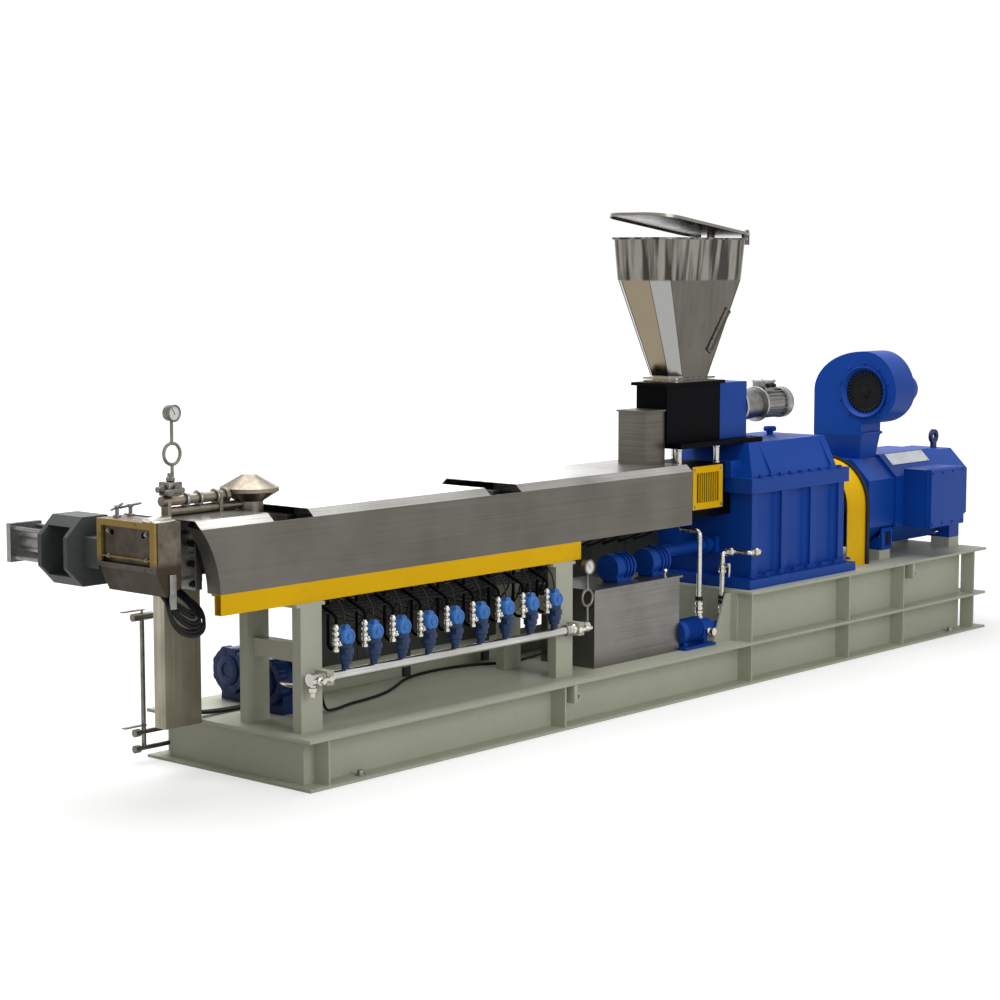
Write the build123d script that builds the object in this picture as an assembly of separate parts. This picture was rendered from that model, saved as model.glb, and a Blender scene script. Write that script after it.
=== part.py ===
from build123d import *
import os
from math import atan, cos, degrees, pi, sin

os.makedirs("parts", exist_ok=True)

# Twin-screw plastic extruder on a welded two-level base.
# All sizes are in millimetres. The origin is on the floor under the middle of the base.
# +X runs from the die head to the motor, -Y is the working side and +Z is up.

# Base frame
base_length = 5460.0
base_width = 1016.0
beam_height = 200.0
deck_thickness = 14.0
raised_web_height = 243.0
flange_thickness = 12.0
flange_overhang = 92.0
web_thickness = 10.0
end_web_inset = 50.0
riser_x = 354.0
raised_foot_gap = 150.0
stiffener_thickness = 10.0
stiffener_setback = 8.0
low_stiffener_places = (116.0, 1623.0)
high_stiffener_places = (16.0, 924.0, 1478.0)
last_stiffener_gap = 124.0
cross_member_width = 80.0
cross_member_pitch = 910.0
cross_member_count = 5
anchor_hole_r = 11.0
anchor_end_gap = 330.0
anchor_edge_gap = 44.0
gusset_foot = 150.0
gusset_top = 40.0
gusset_inset = 30.0

# Process line: barrel, gearbox and motor share this line, nearer the working side
line_y = -110.0
barrel_z = 985.0

# Supports under the barrel
post_length = 120.0
post_thickness = 50.0
near_post_face_y = -380.0
far_post_face_y = -60.0
front_post_x = -2655.0
rear_post_x = -1035.0
saddle_overhang = 20.0
saddle_thickness = 14.0
tie_z = 500.0
tie_height = 76.0

# Yellow rails that carry the covers
rail_height = 84.0
rail_depth = 38.0
rail_wall = 4.0
rail_bottom_z = 749.0
rail_right_x = -830.0

# Barrel
barrel_back_x = 8.0
barrel_module_length = 256.0
barrel_module_count = 12
barrel_half_width = 92.0
barrel_half_height = 84.0
barrel_flange_half = 112.0
barrel_flange_thickness = 26.0
screw_bore_r = 36.0
screw_pitch = 60.0

# Covers over the barrel
cover_half_width = 250.0
cover_top_half_width = 214.0
cover_sheet = 3.0
cover_side_height = 266.0
cover_chamfer_height = 32.0
cover_left_lean = 96.0
cover_front_bulge = 24.0
cover_front_return = 76.0
cover_right_x = 40.0
cover_vent_gaps = ((289.0, 509.0), (1598.0, 1810.0))

# Vacuum vent on the covers
vent_module = 1
vent_dome_r = 122.0
vent_rim_z = 1199.0
vent_rim_height = 16.0
vent_skirt_height = 40.0
vent_cone_height = 52.0
vent_cap_r = 30.0
vent_neck_r = 57.0
vacuum_pipe_r = 21.0
vacuum_pipe_overhang = 86.0
vacuum_pipe_z = 1192.0
vacuum_pipe_y = -110.0
vacuum_flange = 18.0
drain_pipe_r = 18.0
drain_pipe_overhang = 46.0
vacuum_tee_z = 1232.0

# Pressure gauge on the die head
gauge_gap = 26.0
gauge_r = 32.0
gauge_thickness = 34.0
gauge_z = 1540.0
siphon_r = 42.0
siphon_tube_r = 7.0
siphon_z = 1378.0
gauge_valve_r = 18.0

# Screen changer and die head
head_reach = 271.0
head_length = 136.0
head_half_width = 174.0
head_top_z = 1132.0
head_side_height = 170.0
head_bottom_z = 840.0
head_frame = 26.0
head_recess = 14.0
head_slot_height = 22.0
head_slot_depth = 30.0
head_foot_step = 60.0
head_foot_lift = 30.0
die_bolt_r = 12.0
die_bolt_spacing = 190.0
die_bolt_depth = 50.0
adapter_half_width = 112.0
adapter_half_height = 100.0
adapter_flange_half = 140.0
adapter_flange_thickness = 34.0
adapter_bolt_r = 11.0
slide_half_height = 60.0
yoke_window = 0.86
slide_half_width = 60.0
yoke_start_gap = 96.0
yoke_length = 190.0
yoke_half = 140.0
yoke_wall = 24.0
ram_r = 40.0
ram_rod_r = 22.0
ram_length = 262.0
ram_plate_half = 80.0
ram_plate_thickness = 26.0
tie_rod_r = 9.0
tie_rod_offset = 60.0

# Lantern housing between barrel and gearbox
lantern_half_width = 165.0
lantern_right_x = 430.0
lantern_bottom_z = 846.0
lantern_top_z = 1112.0
guard_left_x = 150.0
guard_right_x = 404.0
guard_bottom_z = 888.0
guard_top_z = 1106.0
guard_frame = 34.0
guard_thickness = 8.0
guard_bar = 6.0
guard_bar_count = 9

# Gearbox
gearbox_left_x = 485.0
gearbox_right_x = 1345.0
gearbox_half_width = 300.0
gearbox_base_left_margin = 75.0
gearbox_base_right_margin = 55.0
gearbox_base_margin_y = 45.0
gearbox_base_height = 48.0
gearbox_split_z = 955.0
gearbox_split_height = 78.0
gearbox_split_margin = 24.0
gearbox_rib_width = 54.0
gearbox_panel_depth = 34.0
gearbox_panel_count = 3
gearbox_panel_corner = 30.0
gearbox_split_lip = 15.0
lid_left_margin = 20.0
lid_right_margin = 50.0
lid_half_width = 285.0
lid_top_half_width = 200.0
lid_top_z = 1202.0
lid_left_slope = 85.0
lid_rib_thickness = 12.0
lid_rib_height = 12.0
lid_rib_places = (195.0, 756.0)
boss_length = 60.0
boss_y = -255.0
boss_half_width = 50.0
boss_height = 84.0

# Coupling and its guard
guard_arch_left_x = 1462.0
guard_arch_right_x = 1662.0
guard_arch_r = 250.0
guard_arch_sheet = 4.0
guard_rim = 12.0
guard_rim_height = 8.0
shaft_z = 795.0
coupling_r = 130.0
shaft_r = 45.0

# Main motor
motor_left_x = 1690.0
motor_right_x = 2760.0
motor_half = 256.0
motor_corner = 118.0
motor_end_bell = 260.0
motor_end_shrink = 14.0
foot_half_width = 230.0
foot_length = 110.0
foot_lug_height = 60.0
pad_height = 56.0
pad_width = 120.0
front_pad_x = 1830.0
rear_pad_x = 2590.0
terminal_left_x = 2030.0
terminal_right_x = 2392.0
terminal_near_y = -545.0
terminal_bottom_z = 648.0
terminal_height = 324.0
eye_x = 2715.0
eye_y = -150.0
eye_ring_r = 42.0
eye_hole_r = 20.0
eye_thickness = 20.0
eye_shank = 24.0

# Blower on the motor
scroll_face_x = 1740.0
scroll_depth = 200.0
scroll_y = -277.0
scroll_z = 1413.0
scroll_radii = (176.0, 203.0, 224.0, 326.0)
scroll_outlet_y = 15.0
scroll_outlet_z = 1186.0
inlet_r = 140.0
inlet_depth = 12.0
blower_motor_r = 74.0
blower_motor_length = 250.0
neck_top_half = 128.0
neck_foot_shift = 10.0
neck_foot_narrowing = 40.0
neck_flange_height = 16.0
neck_flange_margin = 14.0

# Feed section
chute_length = 160.0
chute_half_width = 85.0
chute_height = 268.0
chute_lip = 8.0
trough_left_x = 30.0
trough_right_x = 478.0
trough_half_width = 96.0
trough_top_z = 1514.0
trough_flange = 16.0
trough_flange_margin_x = 28.0
trough_flange_margin_y = 14.0
trough_wall = 14.0
trough_floor = 60.0
platform_thickness = 24.0
platform_left_x = 50.0
platform_right_x = 760.0
platform_half_width = 170.0
platform_rod_places = (80.0, 400.0)
rod_r = 13.0
feeder_bracket_length = 236.0
feeder_bracket_half = 98.0
feeder_gear_r = 88.0
feeder_gear_length = 220.0
feeder_motor_r = 80.0
feeder_motor_length = 250.0
feeder_motor_lift = 10.0
feeder_gear_flange_r = 96.0
feeder_gear_flange = 22.0
fin_count = 20
fin_height = 9.0
fin_thickness = 4.0
fan_cover_length = 60.0

# Hopper
hopper_x = 258.0
hopper_top_length = 775.0
hopper_top_width = 365.0
hopper_foot_length = 312.0
hopper_foot_width = 200.0
hopper_rim_z = 2252.0
hopper_band_z = 2040.0
hopper_foot_z = 1560.0
hopper_band_taper = 20.0
hopper_corner_top = 120.0
hopper_fold_top = 75.0
hopper_fold_foot = 50.0
hopper_sheet = 4.0
hopper_rim_width = 14.0
hopper_rim_height = 10.0
hopper_flange_margin = 10.0
hopper_flange_thickness = 16.0
lid_sheet = 4.0
lid_play = 7.0
lid_lip = 15.0
lid_rest_gap = 8.0
lid_leaf_width = 30.0
hinge_gap = 34.0
hinge_height = 26.0
hinge_pin_r = 8.0
hinge_clearance = 0.35
hinge_eye_r = 17.0
hinge_ear = 12.0
hinge_spacing = 220.0
hinge_ear_drop = 34.0
lid_open = 7.5

# Oil cooler beside the gearbox
cooler_left_x = -40.0
cooler_r = 31.0
cooler_cap_r = 42.0
cooler_cap_length = 30.0
cooler_y = -165.0
cooler_z = 680.0

# Tank with pumps behind the near side
tank_left_x = -730.0
tank_right_x = -62.0
tank_near_y = -362.0
tank_depth = 330.0
tank_top_z = 591.0
tank_lid_margin = 12.0
tank_lid_thickness = 10.0
tank_motor_r = 70.0
tank_motor_length = 150.0
tank_motor_y = -250.0
tank_motor_places = (-493.0, -213.0)
tank_motor_foot = 90.0

# Water cooling manifold
manifold_y = -420.0
manifold_left_x = -2645.0
manifold_right_x = -860.0
manifold_r = 21.0
manifold_z = 441.0
manifold_end_length = 34.0
bracket_length = 40.0
bracket_wall = 9.0
valve_count = 9
valve_first_x = -2440.0
valve_pitch = 168.0
valve_body_r = 32.0
valve_body_height = 76.0
valve_riser = 50.0
valve_riser_r = 15.0
coil_r = 36.0
coil_length = 58.0
coil_lift = 30.0
valve_outlet_x = -52.0
valve_outlet_r = 9.0
nipple_z = 652.0
cooling_pipe_r = 7.0
cooling_pipe_bend = 28.0
cooling_pipe_gap = 16.0
cooling_pipe_lift = 36.0
cooling_pipe_offset = 12.0
cooling_pipe_top_z = 1010.0
cooling_pipe_low_z = 950.0

# Lubrication pump and pipes
pump_y = -340.0
pump_z = 300.0
pump_motor_left_x = -60.0
pump_motor_right_x = 92.0
pump_body_right_x = 196.0
pump_motor_r = 58.0
pump_body_r = 46.0
pump_inlet_x = 132.0
pump_outlet_x = 330.0
pump_plate = 14.0
pump_plate_half = 60.0
pump_port_z = 352.0
pump_port_r = 20.0
pipe_r = 13.0
pipe_bend = 32.0
inlet_pipe_top_z = 792.0
outlet_pipe_top_z = 660.0
outlet_pipe_out_y = -446.0

# Circulation pumps on the low deck
circ_pump_r = 100.0
circ_pump_length = 230.0
circ_pump_places = ((330.0, 350.0), (250.0, 30.0))
circ_pump_foot = 40.0
circ_pump_foot_half = 80.0

# Cable duct in front of the base
duct_length = 195.0
duct_width = 70.0
duct_near_y = 150.0
duct_bottom_z = 200.0
duct_top_z = 790.0
duct_sheet = 3.0

# Water standpipe beside the cable duct
standpipe_r = 10.0
standpipe_gap = 67.0
standpipe_y = 450.0
standpipe_top_z = 630.0
standpipe_low_z = 60.0
standpipe_feeds = (60.0, 130.0)
standpipe_reach = 52.0
standpipe_valve_r = 17.0
standpipe_handle = 110.0

# Water gauge on the manifold's right end
water_gauge_x = -832.0
water_gauge_y = -400.0
water_gauge_z = 716.0
water_gauge_r = 34.0
water_siphon_z = 570.0

# Sizes worked out from the driving ones
half_length = base_length / 2
half_width = base_width / 2
low_deck_z = beam_height + deck_thickness
raised_deck_z = low_deck_z + raised_web_height + deck_thickness
web_y = half_width - flange_overhang - web_thickness
rail_top_z = rail_bottom_z + rail_height
cover_bottom_z = rail_top_z
cover_side_top_z = cover_bottom_z + cover_side_height
cover_top_z = cover_side_top_z + cover_chamfer_height
barrel_front_x = barrel_back_x - barrel_module_count * barrel_module_length
rail_left_x = barrel_front_x
cover_left_x = rail_left_x
head_face_x = barrel_front_x - head_reach
gauge_x = barrel_front_x - gauge_gap
vacuum_pipe_left_x = barrel_front_x - vacuum_pipe_overhang
drain_pipe_left_x = barrel_front_x - drain_pipe_overhang
standpipe_x = -half_length - standpipe_gap
base_plate_top_z = raised_deck_z + gearbox_base_height
vent_x = barrel_front_x + (vent_module + 0.5) * barrel_module_length
split_top_z = gearbox_split_z + gearbox_split_height
motor_bottom_z = shaft_z - motor_half
motor_top_z = shaft_z + motor_half
platform_top_z = lid_top_z + platform_thickness
hopper_base_z = trough_top_z + trough_flange
head_y0 = line_y - head_half_width
head_y1 = line_y + head_half_width
hinge_x = hopper_x + hopper_top_length / 2 + hinge_gap
hinge_z = hopper_rim_z + hinge_height


def block(x0, x1, y0, y1, z0, z1):
    """A rectangular block between two corners."""
    centre = ((x0 + x1) / 2, (y0 + y1) / 2, (z0 + z1) / 2)
    return Pos(*centre) * Box(abs(x1 - x0), abs(y1 - y0), abs(z1 - z0))


def rod_x(x0, x1, y, z, r):
    """A round bar along X."""
    return Pos((x0 + x1) / 2, y, z) * Rot(0, 90, 0) * Cylinder(r, abs(x1 - x0))


def rod_y(x, y0, y1, z, r):
    """A round bar along Y."""
    return Pos(x, (y0 + y1) / 2, z) * Rot(90, 0, 0) * Cylinder(r, abs(y1 - y0))


def rod_z(x, y, z0, z1, r):
    """A round bar along Z."""
    return Pos(x, y, (z0 + z1) / 2) * Cylinder(r, abs(z1 - z0))


def tube_along(points, bend, r):
    """A round tube through points, with one bend radius at every corner."""
    path = FilletPolyline(*points, radius=bend)
    return sweep(Plane(path @ 0, z_dir=path % 0) * Circle(r), path=path)


def prism_x(points, x0, x1):
    """A closed outline in Y and Z, carried along X."""
    face = make_face(Polyline(*[(0, y, z) for y, z in points], close=True))
    return Pos(min(x0, x1), 0, 0) * extrude(face, amount=abs(x1 - x0), dir=(1, 0, 0))


def prism_y(points, y0, y1):
    """A closed outline in X and Z, carried along Y."""
    face = make_face(Polyline(*[(x, 0, z) for x, z in points], close=True))
    return Pos(0, min(y0, y1), 0) * extrude(face, amount=abs(y1 - y0), dir=(0, 1, 0))


def octagon(cy, cz, half, corner):
    """The corners of a square in Y and Z with its corners cut off."""
    flat = half - corner
    signs = ((1, 1), (-1, 1), (-1, -1), (1, -1))
    points = []
    for i, (sy, sz) in enumerate(signs):
        pair = [(cy + sy * half, cz + sz * flat), (cy + sy * flat, cz + sz * half)]
        points += pair if i % 2 == 0 else pair[::-1]
    return points


# Base frame


def stiffener_places():
    """Where the side webs are stiffened along X, low part first."""
    low = [-half_length + place for place in low_stiffener_places]
    high = [riser_x + place for place in high_stiffener_places]
    high.append(half_length - last_stiffener_gap)
    return low, high


def side_beam(side):
    """One long side of the base: web, bottom flange with its anchor holes, and the stiffeners between."""
    inner, outer = web_y, web_y + web_thickness
    tip = half_width
    y = sorted((side * inner, side * outer))
    beam = block(-half_length + end_web_inset, half_length - raised_foot_gap, *y, 0, beam_height)
    y = sorted((side * inner, side * tip))
    beam += block(-half_length, half_length, *y, 0, flange_thickness)
    y = sorted((side * outer, side * (tip - stiffener_setback)))
    low, high = stiffener_places()
    for x in low + high:
        half = stiffener_thickness / 2
        beam += block(x - half, x + half, *y, flange_thickness, beam_height)
    for end in (-1, 1):
        x = end * (half_length - anchor_end_gap)
        beam -= rod_z(x, side * (half_width - anchor_edge_gap), -1, flange_thickness + 1, anchor_hole_r)
    return beam


def raised_web(side):
    """The upper side web under the raised deck, with its stiffeners."""
    inner, outer = web_y, web_y + web_thickness
    y = sorted((side * inner, side * outer))
    top = low_deck_z + raised_web_height
    web = block(riser_x + web_thickness, half_length - raised_foot_gap, *y, low_deck_z, top)
    y = sorted((side * outer, side * (half_width - stiffener_setback)))
    for x in stiffener_places()[1]:
        half = stiffener_thickness / 2
        web += block(x - half, x + half, *y, low_deck_z, top)
    return web


def low_deck():
    return block(-half_length, half_length, -half_width, half_width, beam_height, low_deck_z)


def raised_deck():
    z = raised_deck_z - deck_thickness
    return block(riser_x, half_length, -half_width, half_width, z, raised_deck_z)


def cross_members():
    """Cross beams between the side webs, one of them under the origin."""
    first = -half_length + end_web_inset
    last = half_length - raised_foot_gap - web_thickness
    solids = []
    for x in (first, last):
        solids.append(block(x, x + web_thickness, -web_y, web_y, 0, beam_height))
    solids[0] += block(-half_length, first, -web_y, web_y, 0, flange_thickness)
    for i in range(cross_member_count):
        x = (i - (cross_member_count - 1) / 2) * cross_member_pitch
        half = cross_member_width / 2
        solids.append(block(x - half, x + half, -web_y, web_y, 0, beam_height))
    return solids


def riser_plates():
    """The upright plates that close the step between the decks, the front one braced by sloped gussets."""
    top = low_deck_z + raised_web_height
    outer = web_y + web_thickness
    front = block(riser_x, riser_x + web_thickness, -outer, outer, low_deck_z, top)
    for side in (-1, 1):
        inner = web_y - gusset_inset
        y = sorted((side * inner, side * (inner - web_thickness)))
        points = [(riser_x - gusset_foot, low_deck_z), (riser_x, low_deck_z)]
        points += [(riser_x, top), (riser_x - gusset_top, top)]
        front += prism_y(points, *y)
    last = half_length - raised_foot_gap
    return front, block(last - web_thickness, last, -web_y, web_y, low_deck_z, top)


# Supports


def support(x):
    """A welded support frame: two posts, the tie between them and the saddle for the rails and barrel."""
    top = rail_bottom_z - saddle_thickness
    frame = None
    for y in (near_post_face_y, far_post_face_y):
        post = block(x, x + post_length, y, y + post_thickness, low_deck_z, top)
        frame = post if frame is None else frame + post
    middle = x + post_length / 2
    y0 = near_post_face_y + post_thickness
    frame += block(middle - 30, middle + 30, y0, far_post_face_y, tie_z, tie_z + tie_height)
    far_y = line_y + cover_half_width
    x0, x1 = x - saddle_overhang, x + post_length + saddle_overhang
    frame += block(x0, x1, near_post_face_y, far_y, top, rail_bottom_z)
    foot_top = barrel_z - barrel_flange_half
    frame += block(x + 20, x + post_length - 20, line_y - 80, line_y + 80, rail_bottom_z, foot_top)
    return frame + manifold_bracket(x)


def rail(side, left_x):
    """A hollow rectangular rail beside the barrel."""
    outer = line_y + side * cover_half_width
    inner = outer - side * rail_depth
    y0, y1 = sorted((outer, inner))
    tube = block(left_x, rail_right_x, y0, y1, rail_bottom_z, rail_top_z)
    z0, z1 = rail_bottom_z + rail_wall, rail_top_z - rail_wall
    hollow = block(left_x - 1, rail_right_x + 1, y0 + rail_wall, y1 - rail_wall, z0, z1)
    return tube - hollow


# Barrel


def barrel():
    """Flanged barrel modules in a row with the twin bores running through."""
    body = None
    for i in range(barrel_module_count):
        x0 = barrel_front_x + i * barrel_module_length
        x1 = x0 + barrel_module_length
        half = barrel_half_width
        zs = barrel_z - barrel_half_height, barrel_z + barrel_half_height
        piece = block(x0, x1, line_y - half, line_y + half, *zs)
        half = barrel_flange_half
        for a in (x0, x1 - barrel_flange_thickness):
            b = a + barrel_flange_thickness
            piece += block(a, b, line_y - half, line_y + half, barrel_z - half, barrel_z + half)
        body = piece if body is None else body + piece
    end = barrel_front_x + barrel_module_count * barrel_module_length
    for side in (-1, 1):
        body -= rod_x(barrel_front_x - 1, end + 1, line_y + side * screw_pitch / 2, barrel_z, screw_bore_r)
    return body


# Covers


def cover_side(side):
    """An upright side sheet with a curved front edge and the return flange that stiffens it."""
    y = line_y + side * cover_half_width
    inner = y - side * cover_sheet
    ys = sorted((y, inner))
    front = cover_left_x - cover_left_lean
    middle_z = (cover_bottom_z + cover_side_top_z) / 2
    low = (cover_left_x, 0, cover_bottom_z)
    middle = (cover_left_x - cover_front_bulge, 0, middle_z)
    high = (front, 0, cover_side_top_z)
    edge = ThreePointArc(low, middle, high)
    rest = Polyline(high, (cover_right_x, 0, cover_side_top_z), (cover_right_x, 0, cover_bottom_z), low)
    sheet = Pos(0, ys[0], 0) * extrude(make_face(edge + rest), amount=cover_sheet, dir=(0, 1, 0))
    back = Pos(cover_sheet, 0, 0) * edge
    ends = Line(high, (front + cover_sheet, 0, cover_side_top_z))
    ends += Line(low, (cover_left_x + cover_sheet, 0, cover_bottom_z))
    strip = make_face(edge + back + ends)
    ys = sorted((inner, inner - side * cover_front_return))
    flange = Pos(0, ys[0], 0) * extrude(strip, amount=cover_front_return, dir=(0, 1, 0))
    return sheet + flange


def cover_top():
    """The top plates, each with both edges bent down to the side sheets, and the vent gaps between."""
    edges = [cover_left_x - cover_left_lean]
    for a, b in cover_vent_gaps:
        edges += [cover_left_x + a, cover_left_x + b]
    edges.append(cover_right_x)
    low, high = cover_side_top_z, cover_top_z
    side, flat, t = cover_half_width, cover_top_half_width, cover_sheet
    offsets = [(-side, low), (-flat, high), (flat, high), (side, low), (side - 1.5 * t, low)]
    offsets += [(flat - t / 2, high - t), (-flat + t / 2, high - t), (-side + 1.5 * t, low)]
    outline = [(line_y + y, z) for y, z in offsets]
    return [prism_x(outline, a, b) for a, b in zip(edges[::2], edges[1::2])]


# Head


def screen_changer():
    """The block that the screen slide passes through: framed face, slide slot and undercut foot."""
    back_x = head_face_x + head_length
    side_z = head_top_z - head_side_height
    outline = [(head_face_x, head_top_z), (back_x, head_top_z), (back_x, head_bottom_z + head_foot_lift)]
    outline += [(head_face_x + head_foot_step, head_bottom_z), (head_face_x, side_z)]
    body = prism_y(outline, head_y0, head_y1)
    y0, y1 = head_y0 + head_frame, head_y1 - head_frame
    recess_x = head_face_x + head_recess
    body -= block(head_face_x - 1, recess_x, y0, y1, side_z + head_frame, head_top_z - head_frame)
    slot_x = head_face_x + head_slot_depth
    body -= block(head_face_x - 1, slot_x, y0, y1, side_z - 2, side_z + head_slot_height)
    for side in (-1, 1):
        y = line_y + side * die_bolt_spacing / 2
        body -= rod_x(recess_x - 1, recess_x + die_bolt_depth, y, head_top_z - 2 * head_frame, die_bolt_r)
    return body


def die_adapter():
    """The neck between screen changer and barrel, with a bolted flange towards the barrel."""
    x0 = head_face_x + head_length
    x1 = barrel_front_x - adapter_flange_thickness
    ys = line_y - adapter_half_width, line_y + adapter_half_width
    neck = block(x0, x1, *ys, barrel_z - adapter_half_height, barrel_z + adapter_half_height)
    neck = chamfer(neck.edges().filter_by(Axis.X), adapter_flange_thickness / 2)
    half = adapter_flange_half
    flange = block(x1, barrel_front_x, line_y - half, line_y + half, barrel_z - half, barrel_z + half)
    step = half - 2 * adapter_bolt_r
    for sy in (-1, 1):
        for sz in (-1, 0, 1):
            y, z = line_y + sy * step, barrel_z + sz * step
            flange += rod_x(x1 - adapter_bolt_r, x1, y, z, adapter_bolt_r)
    return neck + flange


def slide_yoke():
    """The eight-sided open cage on the far side of the head that carries the ram."""
    x = head_face_x + head_length / 2
    y0 = head_y1
    xs = x - slide_half_width, x + slide_half_width
    neck = block(*xs, y0, y0 + yoke_start_gap, barrel_z - slide_half_height, barrel_z + slide_half_height)
    points = octagon(x, barrel_z, yoke_half, yoke_half * 0.55)
    face = make_face(Polyline(*[(a, 0, b) for a, b in points], close=True))
    shell = Pos(0, y0 + yoke_start_gap, 0) * extrude(face, amount=yoke_length, dir=(0, 1, 0))
    inner = yoke_half - yoke_wall
    points = octagon(x, barrel_z, inner, inner * 0.55)
    face = make_face(Polyline(*[(a, 0, b) for a, b in points], close=True))
    room = yoke_length - 2 * yoke_wall
    start = y0 + yoke_start_gap + yoke_wall
    shell -= Pos(0, start, 0) * extrude(face, amount=room, dir=(0, 1, 0))
    window = inner * yoke_window
    xs = x - yoke_half - 1, x + yoke_half + 1
    shell -= block(*xs, start, start + room, barrel_z - window, barrel_z + window)
    return neck + shell


def slide_ram():
    """The hydraulic cylinder with tie rods and end plate, and its rod across the cage."""
    x = head_face_x + head_length / 2
    y0 = head_y1 + yoke_start_gap + yoke_length
    y1 = y0 + ram_length
    body = rod_y(x, y0, y1, barrel_z, ram_r)
    for sx in (-1, 1):
        for sz in (-1, 1):
            body += rod_y(x + sx * tie_rod_offset, y0, y1, barrel_z + sz * tie_rod_offset, tie_rod_r)
    half = ram_plate_half
    body += block(x - half, x + half, y1, y1 + ram_plate_thickness, barrel_z - half, barrel_z + half)
    rod_start = head_y1 + yoke_start_gap + yoke_wall
    rod = rod_y(x, rod_start, rod_start + yoke_length - 2 * yoke_wall, barrel_z, ram_rod_r)
    return body, rod


# Drive


def lantern():
    """The open housing where the screw shafts couple to the gearbox."""
    y0, y1 = line_y - lantern_half_width, line_y + lantern_half_width
    body = block(barrel_back_x, lantern_right_x, y0, y1, lantern_bottom_z, lantern_top_z)
    body += block(lantern_right_x, gearbox_left_x, y0, y1, lantern_bottom_z, gearbox_split_z)
    x0, x1 = guard_left_x + guard_frame, guard_right_x - guard_frame
    z0, z1 = guard_bottom_z + guard_frame, guard_top_z - guard_frame
    body -= block(x0, x1, y0 - 1, y1 + 1, z0, z1)
    for side in (-1, 1):
        body += rod_x(x0, x1, line_y + side * screw_pitch / 2, barrel_z, screw_bore_r - 8)
    return body


def lantern_guards():
    """Framed bar grilles over both lantern windows."""
    solids = []
    for side in (-1, 1):
        y = line_y + side * lantern_half_width
        ys = sorted((y, y + side * guard_thickness))
        frame = block(guard_left_x, guard_right_x, *ys, guard_bottom_z, guard_top_z)
        x0, x1 = guard_left_x + guard_frame, guard_right_x - guard_frame
        z0, z1 = guard_bottom_z + guard_frame, guard_top_z - guard_frame
        frame -= block(x0, x1, y - 20, y + 20, z0, z1)
        step = (x1 - x0) / (guard_bar_count + 1)
        for i in range(guard_bar_count):
            x = x0 + (i + 1) * step
            frame += block(x - guard_bar / 2, x + guard_bar / 2, *ys, z0, z1)
        solids.append(frame)
    return solids


def gearbox_housing():
    """The lower gear case: base plate, round-cornered panels between ribs, and the split flange."""
    y0, y1 = line_y - gearbox_half_width, line_y + gearbox_half_width
    body = block(gearbox_left_x, gearbox_right_x, y0, y1, base_plate_top_z, gearbox_split_z)
    pitch = (gearbox_right_x - gearbox_left_x - gearbox_rib_width) / gearbox_panel_count
    width = pitch - gearbox_rib_width
    low, high = base_plate_top_z + gearbox_split_lip, gearbox_split_z
    for side, y in ((-1, y0), (1, y1)):
        for i in range(gearbox_panel_count):
            x = gearbox_left_x + gearbox_rib_width + i * pitch + width / 2
            panel = Pos(x, y, (low + high) / 2) * Box(width, 2 * gearbox_panel_depth, high - low)
            inner = panel.edges().filter_by(Axis.Z).group_by(Axis.Y)[0 if side > 0 else -1]
            body -= fillet(inner, gearbox_panel_corner)
    x0 = gearbox_left_x - gearbox_base_left_margin
    x1 = gearbox_right_x + gearbox_base_right_margin
    m = gearbox_base_margin_y
    body += block(x0, x1, y0 - m, y1 + m, raised_deck_z, base_plate_top_z)
    m = gearbox_split_margin
    lip = gearbox_split_lip
    x0, x1 = gearbox_left_x - m, gearbox_right_x + m
    return body + block(x0, x1, y0 - lip, y1 + lip, gearbox_split_z, split_top_z)


def gearbox_lid():
    """The upper gear case: sloped sides with two welded ribs, a flat top and the end boss."""
    x0 = gearbox_left_x + lid_left_margin
    x1 = gearbox_right_x - lid_right_margin
    foot = Plane(((x0 + x1) / 2, line_y, split_top_z)) * Rectangle(x1 - x0, 2 * lid_half_width)
    xt = x0 + lid_left_slope
    top = Plane(((xt + x1) / 2, line_y, lid_top_z)) * Rectangle(x1 - xt, 2 * lid_top_half_width)
    body = loft([foot.face(), top.face()])
    for side in (-1, 1):
        low, high = line_y + side * lid_half_width, line_y + side * lid_top_half_width
        h = side * lid_rib_height
        points = [(low + h, split_top_z), (high, lid_top_z), (high - h, lid_top_z), (low - h, split_top_z)]
        for x in lid_rib_places:
            a = gearbox_left_x + x - lid_rib_thickness / 2
            body += prism_x(points, a, a + lid_rib_thickness)
    ys = boss_y - boss_half_width, boss_y + boss_half_width
    return body + block(x0 - boss_length, x0 + lid_left_slope, *ys, split_top_z, split_top_z + boss_height)


def arch_outline(r, z0):
    """The outline of an arch in Y and Z: two legs up to the shaft height and a half circle."""
    left, right = line_y - r, line_y + r
    legs = Polyline((0, left, shaft_z), (0, left, z0), (0, right, z0), (0, right, shaft_z))
    return make_face(legs + ThreePointArc((0, right, shaft_z), (0, line_y, shaft_z + r), (0, left, shaft_z)))


def coupling_guard():
    """The arched sheet guard over the coupling, open at both ends, with a raised rim towards the motor."""
    width = guard_arch_right_x - guard_arch_left_x
    inner = arch_outline(guard_arch_r - guard_arch_sheet, raised_deck_z)
    shell = extrude(arch_outline(guard_arch_r, raised_deck_z), amount=width, dir=(1, 0, 0))
    rim = arch_outline(guard_arch_r + guard_rim_height, raised_deck_z)
    rim = extrude(rim, amount=guard_rim, dir=(1, 0, 0))
    shell += Pos(width - guard_rim, 0, 0) * rim
    shell -= Pos(-1, 0, 0) * extrude(inner, amount=width + 2, dir=(1, 0, 0))
    return Pos(guard_arch_left_x, 0, 0) * shell


def shaft_coupling():
    """The pin coupling between the gearbox shaft and the motor shaft."""
    body = rod_x(gearbox_right_x, motor_left_x, line_y, shaft_z, shaft_r)
    middle = (guard_arch_left_x + guard_arch_right_x) / 2
    for x in (middle - 75, middle + 5):
        body += rod_x(x, x + 70, line_y, shaft_z, coupling_r)
    return body


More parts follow.
